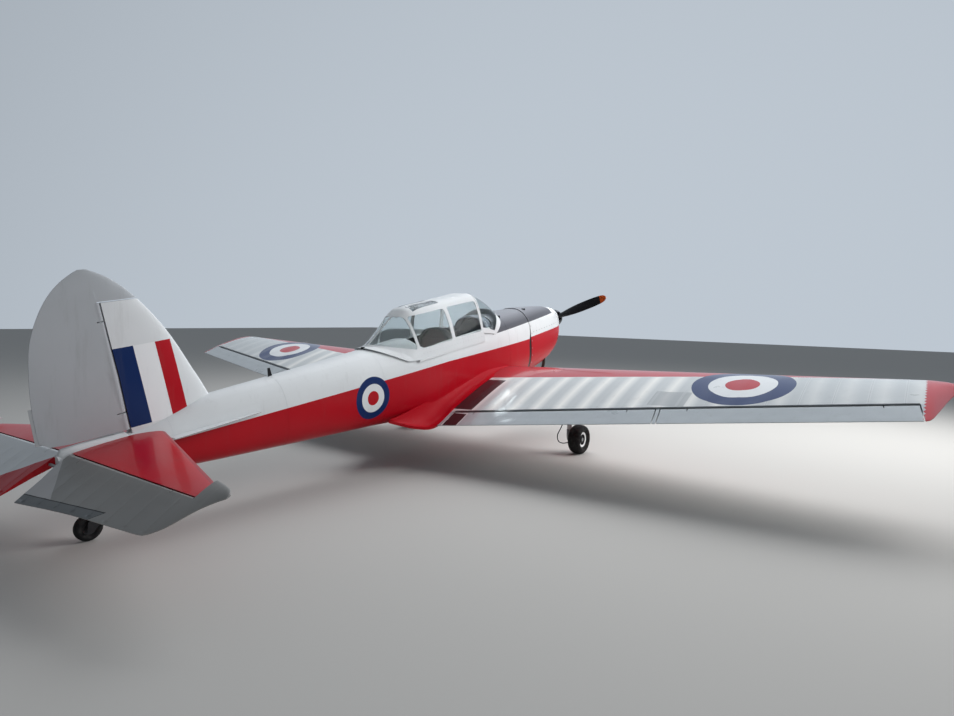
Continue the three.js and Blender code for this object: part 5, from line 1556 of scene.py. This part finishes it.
hose = bar("brake_line_left", [(LEG + x, y, z) for x, y, z in (tuple(p) for p in smooth_path(HOSE, 8))],
           0.006, 16)
rubber = painted("black_rubber", (0.022, 0.022, 0.023), gloss=0.55, fading=0.9, grime=0.5, coat=0.0)
both_sides(hose, rubber, "black_rubber", "brake_hose")

# Wheels and tyres
# Cast two-part wheels, painted white at the rim, in ribbed balloon tyres of black rubber.
def turned(name, outline, centre, sides):
    """A solid turned about a line along x, from a closed outline of (along, radius)."""
    count = len(outline)
    points = []
    for k in range(sides):
        a = 2 * math.pi * k / sides
        points += [LEVEL @ (Vector(centre) + Vector((x, r * math.cos(a), r * math.sin(a)))) for x,
                   r in outline]
    faces = []
    for k in range(sides):
        m = (k + 1) % sides
        faces += [(k * count + i, k * count + (i + 1) % count, m * count + (i + 1) % count, m * count + i)
                  for i in range(count)]
    return solid(name, points, faces)


def tyre_outline(radius, width, rim, grooves):
    """Half a dozen corners of the tyre's section, cut smooth, with grooves round the tread."""
    h, deep = width / 2, radius - rim
    side = [(-h * 0.62, rim), (-h * 0.93, rim + deep * 0.3), (-h, rim + deep * 0.52),
            (-h * 0.86, rim + deep * 0.8),
            (-h * 0.56, radius * 0.985), (-h * 0.22, radius)]
    corners = [Vector(p) for p in side + [(-x, r) for x, r in side[::-1]]]
    for _ in range(3):
        cut = [corners[0]]
        for a, b in zip(corners, corners[1:]):
            cut += [a * 0.75 + b * 0.25, a * 0.25 + b * 0.75]
        corners = cut + [corners[-1]]
    outline = []
    for a, b in zip(corners, corners[1:]):
        outline.append(tuple(a))
        for place in grooves:
            if a.x <= place * h < b.x:
                r = a.y + (b.y - a.y) * (place * h - a.x) / (b.x - a.x)
                outline += [(place * h - 0.0022, r), (place * h - 0.0014, r - 0.0035),
                            (place * h + 0.0014, r - 0.0035),
                            (place * h + 0.0022, r)]
    return outline + [tuple(corners[-1])]


def rim_outline(rim, width, bore):
    """A wheel's section: a flat flange inside the tyre, a dished web and a hub that stands out of it."""
    r, h, hub = rim - 0.0005, width / 2, rim - bore
    half = [(-h * 0.62, r), (-h * 0.62, r - 0.004), (-h * 0.60, r * 0.92), (-h * 0.58, r * 0.72),
            (-h * 0.54, r * 0.69),
            (-h * 0.24, r * 0.66), (-h * 0.20, r * 0.63), (-h * 0.20, bore + hub * 0.30),
            (-h * 0.24, bore + hub * 0.26),
            (-h * 0.50, bore + hub * 0.22), (-h * 0.55, bore + hub * 0.17), (-h * 0.55, bore)]
    return half + [(-x, q) for x, q in half[::-1]]


MAIN_RADIUS = 0.181 * math.cos(math.pi / 34)
MAIN_WIDTH = 0.168
MAIN_RIM = 0.096


def wheel_paint(x, y, z):
    """A dark casting with a bright painted flange."""
    reach = distance(y - MAIN_HUB.y, z - MAIN_HUB.z)
    return over(between(reach, MAIN_RIM * 0.705, MAIN_RIM * 0.965), (0.020, 0.020, 0.022),
                (0.78, 0.79, 0.79))


def rubber_side(x, y, z):
    """Tyre rubber: nearly black, greyer where it is scuffed."""
    scuff = noise(x.tree, own_place(x.tree), Scale=26.0, Detail=5.0)
    return over(ramp(scuff, 0.45, 0.75), (0.014, 0.014, 0.015), (0.040, 0.039, 0.037))


tyre_rubber = painted("tyre_rubber", rubber_side, gloss=0.72, fading=0.9, grime=0.4, coat=0.0, peel=0.0012)
tyre_section = tyre_outline(MAIN_RADIUS, MAIN_WIDTH, MAIN_RIM, (-0.42, -0.14, 0.14, 0.42))
tyre = turned("tyre", tyre_section, MAIN_HUB, 96)
wheel = turned("wheel", rim_outline(MAIN_RIM, MAIN_WIDTH, 0.021), MAIN_HUB, 72)
wheel_white = painted("wheel_white", wheel_paint, gloss=0.35, grime=0.8)
for side, flip in (("left", False), ("right", True)):
    for made, material, slot_name, shown in ((tyre, tyre_rubber, "tyre_rubber", "tyre"),
                                             (wheel, wheel_white, "white_paint", "wheel")):
        piece = mirrored(made, f"main_{shown}_{side}") if flip else made
        piece.name = f"main_{shown}_{side}"
        finish_piece(piece, material, f"main_wheel_{side}", slot_name, [f"{shown}_{side}"], sharp=40)

# Tail wheel
# A leg inside the tail carries a castoring fork with a small solid-looking wheel.
TAIL_RADIUS = 0.099 * math.cos(math.pi / 24)
CASTOR = 7.205
upright = Matrix.Translation(TAIL_HUB) @ Matrix.Rotation(NOSE_UP, 4, "X")
upright = upright @ Matrix.Translation(TAIL_HUB * -1)
TAIL_WIDTH = 0.070
TAIL_RIM = 0.050
tail_tyre = turned("tail_wheel_tyre", tyre_outline(TAIL_RADIUS, TAIL_WIDTH, TAIL_RIM, (-0.3, 0.3)),
                   TAIL_HUB, 80)
finish_piece(tail_tyre, tyre_rubber, "tail_wheel", "tyre_rubber", ["tail_tyre"], sharp=40)
tail_rim = turned("tail_wheel_rim", rim_outline(TAIL_RIM, TAIL_WIDTH, 0.011), TAIL_HUB, 56)
# The rim is near black: dark metal, darkened further as painted shade under the tail.
rim_metal = bare("tail_wheel_metal", (0.055, 0.055, 0.058), 0.5, metal=0.4)
finish_piece(tail_rim, rim_metal, "tail_wheel", "bare_metal", ["tail_wheel"], sharp=40)
tail_leg = bar("tail_wheel_leg", [(0, 7.060, -0.110), (0, 7.120, -0.215), (0, 7.202, -0.292)],
               [0.034, 0.030, 0.026], 32)
post = moved(bar("post", [(0, CASTOR, -0.3506), (0, CASTOR, -0.268)], 0.027, 32), upright)
combine(tail_leg, [post], "UNION")
leg_metal = bare("tail_leg_metal", (0.045, 0.045, 0.048), 0.5, metal=0.5, scale=80)
finish_piece(tail_leg, leg_metal, slot="bare_metal", nodes=["tail_leg"], sharp=35)
low = TAIL_HUB.z
FORK = [(7.170, -0.366), (7.240, -0.366), (7.312, -0.430), (7.316, low - 0.024), (7.274, low - 0.026),
        (7.168, -0.400)]
fork, other = (loft(name, [[(x, p[0], p[1]) for p in soft_corners(FORK[::-1], 0.012, 0.0, 4)]
                           for x in sides])
               for name, sides in (("tail_wheel_fork", (0.044, 0.051)), ("fork_side", (-0.051, -0.044))))
bridge = block("fork_bridge", (-0.051, 0.051), (7.168, 7.242), (-0.370, -0.351))
pin = bar("fork_pin", [(-0.051, 7.290, low), (0.051, 7.290, low)], 0.0106, 24)
combine(fork, [other, bridge, pin], "UNION")
moved(fork, upright)
finish_piece(fork, leg_metal, "tail_fork", "bare_metal", ["tail_fork"], sharp=35)

# Exhaust
# A steel pipe, browned by heat, that comes down through the cowling and turns back.
PIPE = [(-0.190, 0.900, -0.500), (-0.190, 0.925, -0.590), (-0.190, 0.985, -0.665), (-0.190, 1.050, -0.706)]
exhaust = bar("exhaust_pipe", smooth_path(PIPE, 8), 0.0225, 32)
combine(exhaust, [bar("exhaust_bore", [(-0.190, 1.000, -0.675), (-0.190, 1.052, -0.708)], 0.0185, 24)])
burnt_steel = bare("burnt_steel", (0.115, 0.095, 0.082), 0.55, metal=0.85, scale=50, height=0.0006,
                   grime=0.9)
finish_piece(exhaust, burnt_steel, slot="bare_metal", nodes=["exhaust"], sharp=40)

# Pitot head and aerial
# A small tube ahead of the port wing reads the airspeed, and a blade aerial stands on the spine.
dress(bare("pitot_metal", (0.50, 0.51, 0.52), 0.3), "pitot")
dress(painted("aerial_black", BLACK, gloss=0.4), "aerial")

# Filler caps, hood buffer and tail fairing
# Black caps close the tank fillers on the nose, and a rubber buffer stands at the tail of the hood.
# A sheet fairing fills the space under the rudder.
for name, x, y, low, high, radius, node_name in (("oil", -0.131, 1.326, 0.270, 0.311, 0.030, "cowling"),
                                                 ("fuel", -0.196, 2.074, 0.275, 0.318, 0.026, "fuselage")):
    cap = bar(f"{name}_filler_cap", [(x, y, low), (x, y, high - 0.004), (x, y, high)],
              [radius, radius, radius - 0.005], 40)
    finish_piece(cap, gloss_black, slot="black_paint", nodes=[node_name], sharp=35)
tail_stop = bar("hood_tail_stop", [(-0.022, 4.388, 0.303), (0.022, 4.388, 0.303)], 0.014, 24)
finish_piece(tail_stop, gloss_black, "hood", "black_paint", ["hood_frame"], sharp=35)
saddle = []
for y, half, peak in ((6.90, 0.020, 0.110), (6.93, 0.062, 0.144), (7.05, 0.060, 0.148),
                      (7.25, 0.044, 0.148), (7.37, 0.030, 0.144), (7.39, 0.018, 0.120)):
    saddle.append([(half * power(math.cos(a), 0.7), y, 0.060 + (peak - 0.060) * power(math.sin(a), 0.7))
                   for a in (math.radians(d) for d in spread(0, 180, 24))])
finish_piece(loft("tail_saddle", saddle), painted("saddle_white", WHITE, grime=0.5), slot="white_paint",
             nodes=["fuselage"], sharp=50)

# Rivets and fasteners
# Dome rivets hold the skins to their frames, quarter-turn studs the cowling, and screws the hood.
def stud_nodes():
    """Geometry nodes that set a low dome on every point, turned to face along the point's own direction."""
    group = bpy.data.node_groups.new("studs_on_points", "GeometryNodeTree")
    face = group.interface
    face.new_socket("Points", in_out="INPUT", socket_type="NodeSocketGeometry")
    for label, value in (("Radius", 0.003), ("Height", 0.001)):
        face.new_socket(label, in_out="INPUT", socket_type="NodeSocketFloat").default_value = value
    face.new_socket("Material", in_out="INPUT", socket_type="NodeSocketMaterial")
    face.new_socket("Studs", in_out="OUTPUT", socket_type="NodeSocketGeometry")
    given = group.nodes.new("NodeGroupInput").outputs
    dome = field(group, "GeometryNodeMeshUVSphere", {"Segments": 10, "Rings": 5, "Radius": 1.0}, "Mesh")
    facing = field(group, "GeometryNodeInputNamedAttribute", {"Name": "facing"}, "Attribute",
                   data_type="FLOAT_VECTOR")
    turn = field(group, "FunctionNodeAlignRotationToVector", {"Vector": facing}, axis="Z")
    size = field(group, "ShaderNodeCombineXYZ",
                 {"X": given["Radius"], "Y": given["Radius"], "Z": given["Height"]})
    placing = {"Points": given["Points"], "Instance": dome, "Rotation": turn, "Scale": size}
    placed = field(group, "GeometryNodeInstanceOnPoints", placing)
    real = field(group, "GeometryNodeRealizeInstances", {0: placed})
    coloured = field(group, "GeometryNodeSetMaterial", {"Geometry": real, "Material": given["Material"]})
    plug(group.nodes.new("NodeGroupOutput"), {"Studs": coloured})
    return group


stud_group = stud_nodes()


def studs(name, places, radius, height, material, nodes, body="airframe", slot="white_paint"):
    """Studs at places, each a point of the level frame with the way out of the surface there."""
    cloud = bpy.data.meshes.new(name)
    cloud.from_pydata([tuple(LEVEL @ Vector(p)) for p, _ in places], [], [])
    facing = cloud.attributes.new("facing", "FLOAT_VECTOR", "POINT")
    for k, (_, out) in enumerate(places):
        facing.data[k].vector = LEVEL.to_3x3() @ Vector(out)
    piece = bpy.data.objects.new(name, cloud)
    scene.collection.objects.link(piece)
    modifier = piece.modifiers.new("studs", "NODES")
    modifier.node_group = stud_group
    sockets = {item.name: item.identifier for item in stud_group.interface.items_tree
               if item.in_out == "INPUT"}
    modifier[sockets["Radius"]] = radius
    modifier[sockets["Height"]] = height
    modifier[sockets["Material"]] = material
    settle(piece)
    return finish_piece(piece, material, body, slot, nodes, sharp=60)


def on_ring(ring_at, y, pitch, keep=lambda p: True):
    """Places evenly spaced round a ring of points, with the way out at each."""
    here = [Vector(p) for p in ring_at(y)]
    ahead = [Vector(p) for p in ring_at(y + 0.02)]
    places, since = [], pitch / 2
    for k, point in enumerate(here):
        after = here[(k + 1) % len(here)]
        gap = (after - point).length
        while since < gap:
            t = since / gap
            place = point.lerp(after, t)
            out = (after - point).cross(ahead[k] - point).normalized()
            out = out if out.dot(place - Vector((0, y, -0.05))) > 0 else -out
            if keep(place):
                places.append((place, out))
            since += pitch
        since -= gap
    return places


def on_row(ring_at, index, stations):
    """Places along the shell, at one corner of its rings."""
    places = []
    for y in stations:
        ring = [Vector(p) for p in ring_at(y)]
        here, after = ring[index], ring[(index + 1) % len(ring)]
        out = (after - here).cross(Vector(ring_at(y + 0.02)[index]) - here).normalized()
        places.append((here, out if out.dot(here - Vector((0, y, -0.05))) > 0 else -out))
    return places


def outside_cockpit(p):
    return not (2.24 < p.y < 4.32 and p.z > 0.02)


rivets = []
for joint in SHEET_JOINTS:
    for offset in (-0.014, 0.014):
        rivets += on_ring(body_ring, joint + offset, 0.034, outside_cockpit)
for index in (6, 14, 33, 41, 54, 89):
    rivets += [p for p in on_row(body_ring, index, spread(1.50, 6.55, 148)) if outside_cockpit(p[0])]
body_rivets = painted("rivets_white_and_red", fuselage_paint, grime=0.8, fading=0.8)
studs("body_rivets", rivets, 0.0034, 0.0012, body_rivets, ["fuselage"])
fasteners = on_ring(cowl_ring, 1.425, 0.105) + on_ring(cowl_ring, 0.47, 0.09)
for index in (1, 46, 20, 27):
    fasteners += on_row(cowl_ring, index, spread(0.56, 1.36, 9))
stud_steel = bare("stud_steel", (0.42, 0.42, 0.42), 0.4, scale=200)
studs("cowling_studs", fasteners, 0.0085, 0.0018, stud_steel, ["cowling"], slot="bare_metal")
screws = []
for y in spread(2.70, 3.80, 20):
    for z in (0.150, 0.196):
        ring = [Vector(p) for p in hood_ring(y)[:30]]
        low, high = next((a, b) for a, b in zip(ring, ring[1:]) if a.z <= z < b.z)
        place = low.lerp(high, (z - low.z) / (high.z - low.z))
        for flip in (1, -1):
            facing = Vector((flip * (high.z - low.z), 0, low.x - high.x)).normalized()
            screws.append((Vector((place.x * flip, y, place.z)), facing))
screw_steel = bare("screw_steel", (0.50, 0.50, 0.49), 0.35, scale=200)
studs("hood_screws", screws, 0.0040, 0.0012, screw_steel, ["hood_frame"], body="hood", slot="bare_metal")
